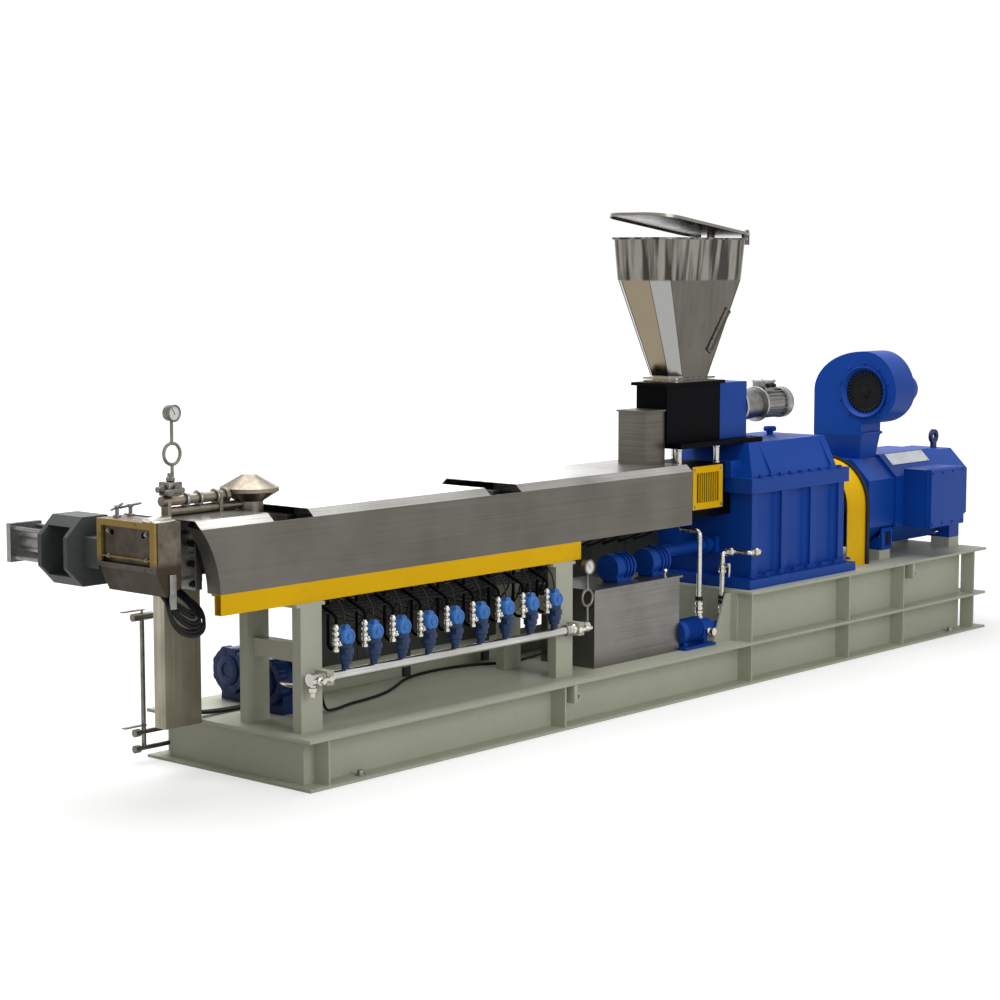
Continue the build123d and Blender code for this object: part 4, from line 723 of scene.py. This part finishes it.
# %% [markdown]
# ## The blower
# The fan draws air through a round mouth in the side of its case. The mouth is a bell-shaped ring, and
# the vanes of the fan wheel stand just inside it, dark against a black disc that paints the shade in the
# hollow of the case. On the other side a bolted cone carries the fan's motor, which has a small box on
# top and a cowl at its end.

# %% Blower mouth, vanes and bolts
mouth_x, mouth_y, mouth_z = centre = 1.74, -0.277, 1.413
settle(at(turned([(139, 1), (143, 10), (137, 12), (128, 4), (121, -4), (118, -11)], 48), centre, front),
    "blower_mouth", blue_enamel)
# Painted shade: a black disc stands in for the shade inside the fan case.
settle(at(turned([(138, 0.5), (30, 0.5), (28, 6), (12, 10), (0, 10)], 48),
    (mouth_x + 0.012, mouth_y, mouth_z), front), "blower_hollow_painted_shade", black_paint_and_painted_shade)
vane = plate((-0.0012, 0.0012), (-0.013, 0.013), (0, 0.007), 0.0004)
at(vane, (0, 0.104, 0), up, radians(35))
wheel = (mouth_x + 0.0115, mouth_y, mouth_z)
vanes = [at(twin(vane), wheel, front, 2 * pi * i / 32) for i in range(32)]
bpy.data.objects.remove(vane)
settle(merge(vanes), "blower_vanes", valve_paint)
settle(spread(bolt(10, 6), ring(centre, 0.158, 10, front)), "blower_bolts", blue_enamel)
cone = at(turned([(74.5, 0), (172, 0), (176, 4), (176, 12), (116, 78), (90, 96), (90, 108), (74.5, 110)],
    48), (1.9405, mouth_y, mouth_z), back)
cowl = at(turned([(74.2, 0), (79, 2), (79, 58), (74, 66), (60, 69), (58, 67), (40, 67), (38, 69), (20, 69),
    (18, 67), (0, 67)], 40), (2.124, mouth_y, mouth_z), back)
box = plate((2.06, 2.118), (mouth_y - 0.034, mouth_y + 0.034), (mouth_z + 0.066, mouth_z + 0.104), 0.003)
bolts = spread(bolt(10, 7), ring((1.9525, mouth_y, mouth_z), 0.15, 8, back, radians(22.5)))
settle(merge([cone, cowl, box, bolts]), "blower_motor_cone", blue_enamel)
print("blower done")

# %% [markdown]
# ## The guards
# Behind the bars of the lantern guard is a fine black mesh, so that no finger reaches the shafts, and
# a screw sits in each of its corners. Anchor bolts hold the base to the floor, and two ringed lugs at
# its near side are for lifting.

# %% Guard trim
lo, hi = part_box("lantern_guards")
inner_x, inner_z = (lo[0] + 0.034, hi[0] - 0.034), (lo[2] + 0.034, hi[2] - 0.034)
pitch = 0.007
wires = []
for i in range(int((inner_x[1] - inner_x[0]) / pitch) + 1):
    x = inner_x[0] + pitch * i
    wires.append(plate((x - 0.002, x + 0.002), (-0.2772, -0.2752), inner_z, 0.0005))
for i in range(int((inner_z[1] - inner_z[0]) / pitch) + 1):
    z = inner_z[0] + pitch * i
    wires.append(plate(inner_x, (-0.2758, -0.2738), (z - 0.002, z + 0.002), 0.0005))
settle(merge(wires), "guard_dark_mesh", black_paint_and_painted_shade)
corners = [((x, lo[1] + 0.0005, z), near) for x in (lo[0] + 0.016, hi[0] - 0.016)
    for z in (lo[2] + 0.016, hi[2] - 0.016)]
settle(spread(bolt(9, 5), corners), "guard_screws", zinc_bolt)
print("guard", [round(v, 3) for v in lo], [round(v, 3) for v in hi])

# %% Anchor bolts and deck lugs
spots = [((x, y, 0.0115), up) for x in (-2.4, 2.4) for y in (-0.464, 0.464)]
settle(spread(bolt(24, 18), spots), "anchor_bolts", zinc_bolt)
lugs = []
for x, top in ((-1.041, 0.214), (1.925, 0.471)):
    web = plate((x - 0.012, x + 0.012), (-0.507, -0.44), (top - 0.1, top - 0.0145), 0.002)
    eye_ring = at(turned([(12, -6), (24, -6), (26, 0), (24, 6), (12, 6), (10, 0), (12, -6)], 20),
        (x + 0.03, -0.49, top - 0.075), near)
    lugs += [web, eye_ring]
settle(merge(lugs), "base_lifting_lugs", frame_enamel)
print("anchors and lugs done")

# %% [markdown]
# ## Gauges
# Each pressure gauge has a steel ring, a white dial with marks and a pointer. The dial carries marks
# only, with no words.

# %% Gauge dials
def dial(x, y, z, radius, name):
    """A gauge front facing the near side, with its radius in millimetres: ring, dial, marks, pointer."""
    rim = turned([(radius - 5, 0), (radius - 4, 4), (radius, 5), (radius + 3, 2), (radius + 3, -10),
        (radius, -12)], 36)
    settle(at(rim, (x, y, z), near), name + "_ring", gauge_steel)
    face = turned([(radius - 3, 1), (4, 1.2), (0, 1.2)], 36)
    settle(at(face, (x, y, z), near), name + "_dial", dial_white)
    reach = radius / 1000
    marks = []
    for i in range(11):
        mark = plate((-0.0007, 0.0007), (reach * 0.66, reach * 0.82), (0.0012, 0.0018), 0)
        marks.append(at(mark, (0, 0, 0), up, radians(135 - 27 * i)))
    pointer = plate((-0.0009, 0.0009), (-reach * 0.2, reach * 0.7), (0.002, 0.0028), 0)
    at(pointer, (0, 0, 0), up, radians(30))
    settle(at(merge(marks + [pointer]), (x, y, z), near), name + "_marks", black_paint_and_painted_shade)


dial(-3.09, -0.1272, 1.54, 32, "melt_gauge")
dial(-0.832, -0.4142, 0.716, 34, "water_gauge")
print("two gauges")

# %% [markdown]
# ## The manifold's ends
# At the left end a ball valve leads to two short outlets, one towards the operator and one down. At
# the right end another ball valve ends in a blunt point. Two straps hold the pipe.

# %% Manifold ball valves
def ball_valve(lever):
    """A ball valve along Z with a lever whose length is given, made at the origin."""
    shell = turned([(0, -45), (17, -45), (24, -42), (24, -26), (18, -22), (27, -10), (27, 10), (18, 22),
        (24, 26), (24, 42), (17, 45), (0, 45)], 24)
    stem = at(turned([(0, 18), (9, 18), (9, 34), (13, 36), (13, 44), (0, 46)], 16), (0, 0, 0), near)
    handle = plate((-0.007, 0.007), (-0.0445, -0.0415), (-0.012, lever), 0.001)
    return merge([shell, stem, handle])


left = ball_valve(0.105)
at(left, (-2.56, pipe_y, pipe_z), front)
spout = turned([(0, 0), (13, 0), (13, 30), (18, 34), (18, 50), (11, 54), (11, 72), (0, 72)], 18)
ends = spread(spout, [((-2.628, pipe_y, pipe_z), way) for way in (near, down)])
right = ball_valve(0.085)
at(right, (-0.955, pipe_y, pipe_z), back)
point = at(turned([(0, 0), (19, 0), (19, 16), (12, 20), (12, 40), (4, 52), (0, 52)], 18),
    (-0.9, pipe_y, pipe_z), near)
settle(merge([left, ends, right, point]), "manifold_valves", plated)
strap = turned([(21.5, -12), (26.5, -12), (26.5, 12), (21.5, 12), (21.5, -12)], 24)
settle(spread(strap, [((x, pipe_y, pipe_z), front) for x in (-2.6, -1.01)]), "manifold_straps", zinc_bolt)
print("manifold ends done")

# %% [markdown]
# ## The head
# The head gets hot, so what is on it can be opened by hand: two T-handled screws on its top, two
# ground clamp bars along the near edge, and studs through the adapter's flange. A small block with
# three cocks and a lever stands at the end of the vacuum pipe.

# %% Head clamps, bars and studs
clamps = []
for x, angle in ((-3.273, radians(20)), (-3.205, radians(-35))):
    stem = turned([(0, 0), (16, 0), (16, 8), (8, 12), (8, 34), (12, 37), (12, 47), (0, 49)], 16)
    bar = at(turned([(0, -45), (4, -45), (5.5, -40), (5.5, 40), (4, 45), (0, 45)], 12), (0, 0, 0.042),
        (cos(angle), sin(angle), 0.2))
    clamps.append(at(merge([stem, bar]), (x, 0.012, 1.1315)))
settle(merge(clamps), "head_t_screws", machined)
bars = [plate((-3.328, -3.222), (-0.258, -0.206), (1.1316, 1.15), 0.003),
    plate((-3.328, -3.222), (-0.283, -0.262), (1.1316, 1.141), 0.003)]
settle(merge(bars), "head_clamp_bars", plated)
spots = [((-3.0985, y, z), front) for y in (-0.236, 0.016) for z in (0.87, 0.95, 1.03, 1.105)]
settle(spread(bolt(15, 12), spots), "adapter_studs", black_paint_and_painted_shade)
spots = [((-3.3225, y, z), front) for y in (-0.225, 0.005) for z in (0.985, 1.085)]
settle(spread(bolt(10, 7), spots), "head_frame_screws", machined)
print("head done")

# %% Valve block at the vacuum pipe's end
block = plate((-3.135, -3.065), (-0.142, -0.078), (1.212, 1.268), 0.004)
side_cock = turned([(0, 0), (14, 0), (18, 4), (18, 16), (12, 20), (12, 34), (0, 36)], 18)
cocks = spread(side_cock, [((-3.135, line_y, 1.24), front), ((-3.1, -0.142, 1.24), near),
    ((-3.1, line_y, 1.268), up)])
lever = plate((-3.19, -3.095), (-0.187, -0.181), (1.232, 1.246), 0.001)
hub = at(turned([(0, 0), (10, 0), (10, 12), (0, 14)], 14), (-3.1, -0.175, 1.24), near)
settle(merge([block, lever, hub, cocks]), "vacuum_valve_block", gauge_steel)
collars = [((x, line_y, 1.192), front) for x in (-3.02, -2.95, -2.86)]
collar = turned([(20.5, 0), (30, 0), (32, 3), (32, 11), (30, 14), (20.5, 14)], 24)
settle(spread(collar, collars), "vacuum_pipe_collars", machined)
print("valve block done")

# %% [markdown]
# ## Leads of the head's heaters
# Under the head the heater leads hang in loops from the head's underside to the cable duct. Each is
# held at both ends, black and rubber-covered. A small bright bar clips them under the head.

# %% Heater leads
loops = (
    ((-3.235, -0.225, 0.845), (-3.285, -0.3, 0.79), (-3.27, -0.33, 0.71), (-3.18, -0.325, 0.672),
     (-3.09, -0.3, 0.69), (-3.06, -0.24, 0.76), (-3.075, -0.14, 0.8)),
    ((-3.225, -0.18, 0.845), (-3.255, -0.27, 0.8), (-3.225, -0.315, 0.735), (-3.15, -0.31, 0.7),
     (-3.085, -0.27, 0.722), (-3.07, -0.18, 0.79), (-3.085, -0.11, 0.83)),
    ((-3.215, -0.13, 0.85), (-3.24, -0.22, 0.83), (-3.205, -0.29, 0.775), (-3.14, -0.29, 0.74),
     (-3.09, -0.23, 0.755), (-3.08, -0.14, 0.81), (-3.1, -0.06, 0.84)),
)
leads = []
for step in range(4):
    shift = Vector((0.011 * step, 0.014 * step, 0.013 * (step % 2)))
    for points in loops:
        leads.append(tube([Vector(point) + shift for point in points], 0.0065, 3))
settle(merge(leads), "heater_leads", rubber)
settle(plate((-3.262, -3.228), (-0.29, -0.284), (0.789, 0.927), 0.002), "lead_clip_bar", machined)
print("twelve heater leads")

# %% [markdown]
# ## Hopper fittings
# A long sight window shows how full the hopper is. It is a glass strip in a screwed frame that lies on
# the near side of the cone, along its right edge. Bolts hold the foot flange. Two knobs on the lid
# are for lifting it, so they ride with the lid.

# %% The sight window, foot bolts and lid knobs
a, b = Vector((0.478, -0.253, 1.893)), Vector((0.346, -0.2262, 1.678))
out = Vector((0, -1, -0.1302)).normalized()
along = (a - b).normalized()
across = along.cross(out).normalized()
lay = Matrix((across, along, out)).transposed().to_4x4()
lay.translation = (a + b) / 2
half = (a - b).length / 2
frame_strip = plate((-0.021, 0.021), (-half, half), (-0.002, 0.007), 0.002)
open_mesh(frame_strip)
pick(lambda c, n: n.z > 0.9)
push(0.009, (0, 0, -0.003))
screws = spread(bolt(5, 3), [((x, y, 0.007), up) for x in (-0.0165, 0.0165)
    for y in [half * k for k in (-0.92, -0.46, 0, 0.46, 0.92)]])
window = merge([frame_strip, screws])
window.data.transform(lay)
settle(window, "hopper_window_frame", chute_sheet)
glass = plate((-0.0115, 0.0115), (-half + 0.01, half - 0.01), (0.0035, 0.005), 0)
open_mesh(glass)
pick(lambda c, n: n.z > 0.9)
bpy.ops.mesh.inset(thickness=0.002)
bpy.ops.transform.translate(value=(0, 0, -0.0007))
bpy.ops.mesh.inset(thickness=0.0006)
bpy.ops.transform.translate(value=(0, 0, -0.0004))
bare()
glass.data.transform(lay)
settle(glass, "hopper_window_pane", black_paint_and_painted_shade)
lo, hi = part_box("hopper_shell")
foot_x, foot_y, foot_z = (0.1, 0.416), (-0.212, -0.008), 1.5458
spots = []
for y in foot_y:
    spots += row((foot_x[0], y, foot_z), (foot_x[1], y, foot_z), 7, up)
spots += row((foot_x[0], -0.168, foot_z), (foot_x[0], -0.052, foot_z), 3, up)
settle(spread(bolt(9, 6), spots), "hopper_foot_bolts", zinc_bolt)
hinge = Vector((0.6795, line_y, 2.278))
open_lid = Matrix.Translation(hinge) @ Matrix.Rotation(radians(7.5), 4, "Y") @ Matrix.Translation(-hinge)
knob = turned([(0, 0), (10, 0), (8, 6), (8, 12), (15, 18), (16, 24), (11, 29), (0, 30)], 18)
knobs = spread(knob, [((0.08, y, 2.264), up) for y in (-0.165, -0.055)])
knobs.data.transform(open_lid)
settle(knobs, "lid_knobs", plated, body="hopper_lid")
print("hopper shell from", [round(v, 3) for v in lo], "to", [round(v, 3) for v in hi])

# %% [markdown]
# ## Behind the valves
# Heater and sensor leads come down from the barrel in a dark tangle and run along the far side to the
# upright cable duct at the machine's end. A long sheet-metal trunk carries them, with a box beside the
# tank where they are joined. The trunk is a plain folded box with a lid in lengths, so grooves are cut
# where one lid meets the next. A kerb plate closes the gap between the trunk and the deck.

# %% Cable trunk
def trunk(x, y, z, lengths):
    """A long sheet box whose near and far faces are parted into lids by narrow inset grooves."""
    piece = plate(x, y, z, 0.003)
    cuts = [x[0] + (x[1] - x[0]) * i / lengths for i in range(1, lengths)]
    open_mesh(piece)
    for cut in cuts:
        for offset in (-0.003, 0.003):
            bpy.ops.mesh.select_all(action="SELECT")
            bpy.ops.mesh.bisect(plane_co=(cut + offset, 0, 0), plane_no=(1, 0, 0))
    pick(lambda c, n: abs(n.y) > 0.9 and any(abs(c.x - cut) < 0.002 for cut in cuts))
    bpy.ops.mesh.inset(thickness=0.0004)
    bpy.ops.transform.shrink_fatten(value=-0.004)
    bare()
    return piece


# Partly paint and partly painted shade: the trunk's grey is made dark to stand for the shade on the far side
# behind the valves.
trunk_enamel_painted_shade = enamel("dark_grey_trunk_enamel_painted_shade", "4b4e47", "393c37", 0.5, 0, grime=0.3)
low = trunk((-2.12, -0.79), (0.165, 0.225), (0.335, 0.64), 4)
box = trunk((-0.785, -0.11), (0.16, 0.25), (0.4, 0.742), 2)
deck_z = 0.2138
feet = []
for x, y, top in ((-2.05, 0.17, 0.34), (-1.45, 0.17, 0.34), (-0.9, 0.17, 0.34), (-0.7, 0.18, 0.404),
    (-0.2, 0.18, 0.404)):
    feet.append(plate((x - 0.02, x + 0.02), (y, y + 0.045), (deck_z, top), 0.002))
upper = trunk((-0.11, 0.455), (0.165, 0.235), (0.5, 0.83), 2)
settle(merge([low, box, upper] + feet), "far_cable_trunk", trunk_enamel_painted_shade)
settle(plate((-2.12, -0.115), (0.19, 0.196), (deck_z, 0.335), 0.001), "far_kerb_plate", frame_enamel)
print("trunk and junction box")

# %% Leads from the barrel and the coils
leads = []
for i in range(22):
    x = -2.19 + i * 0.068
    sway = 0.03 * sin(i * 2.3)
    start_y = -0.17 - 0.05 * cos(i * 1.7)
    leads.append(tube(((x, start_y, 0.905), (x + sway, start_y - 0.06, 0.8),
        (x + sway * 1.6, start_y - 0.07, 0.66), (x + 0.04, start_y + 0.02, 0.56 + 0.03 * sin(i * 1.1)),
        (x + 0.07, 0.02, 0.575), (x + 0.09, 0.13, 0.625), (x + 0.09, 0.19, 0.638)), 0.0045, 2))
for x in valve_xs:
    leads.append(tube(((x, pipe_y, 0.637), (x, -0.418, 0.668), (x + 0.014, -0.395, 0.705),
        (x + 0.02, -0.36, 0.735), (x + 0.025, -0.33, 0.775), (x + 0.025, -0.25, 0.86)), 0.004, 2))
for j in range(4):
    droop = 0.012 * j
    leads.append(tube([(-2.59 + 0.3 * k, -0.3 - 0.012 * j, 0.735 - droop - 0.03 * (k % 2))
        for k in range(6)] + [(-1.04, -0.3 - 0.012 * j, 0.742)], 0.006, 2))
for j in range(3):
    y = 0.178 + 0.016 * j
    leads.append(tube(((-2.116, y, 0.38), (-2.16, y, 0.37), (-2.185, y, 0.29), (-2.24, y, 0.2225),
        (-2.64, y, 0.2225), (-2.728, y, 0.24)), 0.007, 2))
for k in range(7):
    x = -0.62 + 0.13 * k
    sway = 0.03 * sin(k * 2.1)
    leads.append(tube(((x, 0.1, 0.905), (x + sway, 0.05, 0.85), (x + 0.05, -0.02 + sway, 0.79),
        (x + 0.08, 0.06, 0.735), (x + 0.09, 0.168, 0.7)), 0.008, 2))
settle(merge(leads), "barrel_leads", rubber)
print("leads:", len(leads))

# %% [markdown]
# ## Pumps
# The two circulation pumps show their lobed pump heads: eight bolt bosses stand round a flat cover.
# One of them feeds the manifold through a bright pipe. The gear oil pump has plated fittings at its
# ports and a ribbed cover over its fan, and its pipes have unions, clamps and small cocks. The tank's
# lid has a knob.

# %% Pump heads
pump_z = 0.354
bosses = []
for x, y in ((-2.4, 0.35), (-2.48, 0.03)):
    boss = turned([(0, 0), (18, 0), (23, 6), (23, 46), (18, 52), (0, 52)], 16)
    bosses.append(spread(boss, ring((x + 0.05, y, pump_z), 0.086, 8, front, radians(22.5))))
    lid_ring = turned([(66, 0), (66, 6), (60, 10), (34, 10), (30, 4), (0, 4)], 32)
    bosses.append(at(lid_ring, (x, y, pump_z), front))
    rib = turned([(84, 0), (96, 1), (96, 5), (84, 6)], 32)
    bosses.append(spread(rib, [((x + 0.09 + 0.014 * k, y, pump_z), front) for k in range(7)]))
settle(merge(bosses), "circulation_pump_heads", deep_blue)
settle(tube(((-2.47, -0.06, 0.362), (-2.5, -0.12, 0.362), (-2.52, -0.24, 0.375), (-2.57, -0.3, 0.43),
    (-2.628, -0.33, 0.441), (-2.628, -0.4, 0.441)), 0.011), "pump_feed_pipe", plated)
print("pump heads done")

# %% Oil pump fittings
oil_y, oil_z = -0.34, 0.3
union = turned([(13.5, 0), (21, 2), (22, 14), (17.5, 18), (17.5, 24), (22, 28), (21, 40), (13.5, 42)], 12)
spots = [((x, oil_y, z), up) for x, z in ((0.132, 0.35), (0.132, 0.393), (0.33, 0.35), (0.33, 0.56))]
spots += [((0.371, oil_y, 0.66), back), ((0.447, -0.446, 0.66), back)]
settle(spread(union, spots), "oil_pipe_unions", plated)
clamp_ring = turned([(13.5, 0), (19, 0), (20, 3), (20, 17), (19, 20), (13.5, 20)], 20)
spots = [((x, oil_y, z), up) for x, z in ((0.132, 0.44), (0.33, 0.4), (0.33, 0.424))]
settle(spread(clamp_ring, spots), "oil_pipe_clamps", rubber)
cock = at(turned([(0, 0), (9, 0), (9, 20), (12, 22), (12, 30), (0, 32)], 14), (0.33, -0.352, 0.6), near)
arm = plate((0.324, 0.336), (-0.386, -0.381), (0.54, 0.608), 0.0015)
drain = at(turned([(0, 0), (12, 0), (18, 4), (18, 20), (12, 26), (12, 36), (20, 40), (20, 50), (0, 52)], 18),
    (0.14, -0.382, 0.29), near)
settle(merge([cock, arm, drain]), "oil_cocks", plated)
fan = at(turned([(0, 0), (40, 0), (52, 4), (56, 14), (58.5, 20), (58.5, 26), (0, 26)], 28),
    (-0.036, oil_y, oil_z), front)
fins = turned([(57, 0), (63, 1), (63, 4), (57, 5)], 28)
fins = spread(fins, [((0.086 - 0.014 * k, oil_y, oil_z), front) for k in range(8)])
settle(merge([fan, fins]), "oil_pump_fan_cover", blue_enamel)
knob = turned([(0, 0), (12, 0), (12, 3), (4, 6), (4, 18), (10, 22), (13, 31), (10, 40), (0, 43)], 18)
settle(at(knob, (-0.152, oil_y, 0.5905)), "tank_knob", plated)
print("oil side done")

# %% [markdown]
# ## Welds, rims and the deck cable
# The cone's sheets are joined by welds, left as thin dark lines beside the corner strips with their
# painted highlight. The coupling guard has a rubber edge towards the motor, and bright sleeves cover the
# rods that carry the feeder's platform. One black cable lies along the lower deck from the circulation
# pump to the tank, and both its ends are fixed.

# %% Hopper welds
def cone_corners(half_x, half_y, fold, z):
    """The eight corners of the folded cone at one height."""
    spots = [(half_x - fold, half_y), (half_x, half_y - fold)]
    signs = ((1, 1), (-1, 1), (-1, -1), (1, -1))
    return [(0.258 + sx * x, line_y + sy * y, z) for sx, sy in signs for x, y in spots]


tops = cone_corners(0.3675, 0.1625, 0.075, 2.0395)
feet = cone_corners(0.156, 0.1, 0.05, 1.56)
seams = [tube((top, foot), 0.0024, 1) for top, foot in zip(tops, feet)]
settle(merge(seams), "hopper_welds", chute_sheet)
print("welds:", len(seams))

# %% Coupling guard edge and deck cable
guard_low, guard_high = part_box("coupling_guard")
radius = (guard_high[1] - guard_low[1]) / 2
r = radius * 1000
edge = turned([(r - 3, 5), (r - 3, -22), (r + 4, -22), (r + 6, -18), (r + 6, 3), (r + 4, 5), (r - 3, 5)],
    64)
open_mesh(edge)
bpy.ops.mesh.bisect(plane_co=(0, 0, 0), plane_no=(1, 0, 0), clear_outer=True, use_fill=True)
bare()
at(edge, (guard_high[0], line_y, guard_high[2] - radius), back)
rim_x, rim_z = (guard_high[0] - 0.022, guard_high[0] + 0.005), (guard_low[2], guard_high[2] - radius)
legs = [plate(rim_x, (y - 0.003, y + 0.006), rim_z, 0.001) for y in (guard_low[1] - 0.003, guard_high[1])]
settle(merge([edge] + legs), "coupling_guard_edge", rubber)
sleeve = turned([(13.1, 0), (18.5, 0), (18.5, 8), (15, 11), (15, 78), (18.5, 81), (18.5, 89), (13.1, 89)],
    20)
rods = [((x, y, 1.1125), up) for x in (0.08, 0.4) for y in (-0.245, 0.025)]
settle(spread(sleeve, rods), "platform_rod_sleeves", bright_pipe)
print("guard edge at", round(guard_high[0], 3), "radius", round(radius, 3))
lie_z = 0.2205
route = ((-2.331, -0.166, 0.3), (-2.32, -0.166, 0.23), (-2.234, -0.146, lie_z), (-2.1, -0.102, lie_z),
    (-2.018, -0.094, lie_z), (-1.837, -0.058, lie_z), (-1.666, 0.033, lie_z), (-1.518, 0.124, lie_z),
    (-1.3, 0.165, lie_z), (-1.05, 0.13, lie_z), (-0.85, 0, lie_z), (-0.732, -0.06, 0.26))
settle(tube(route, 0.0065), "deck_cable", rubber)
print("edge and cable done")
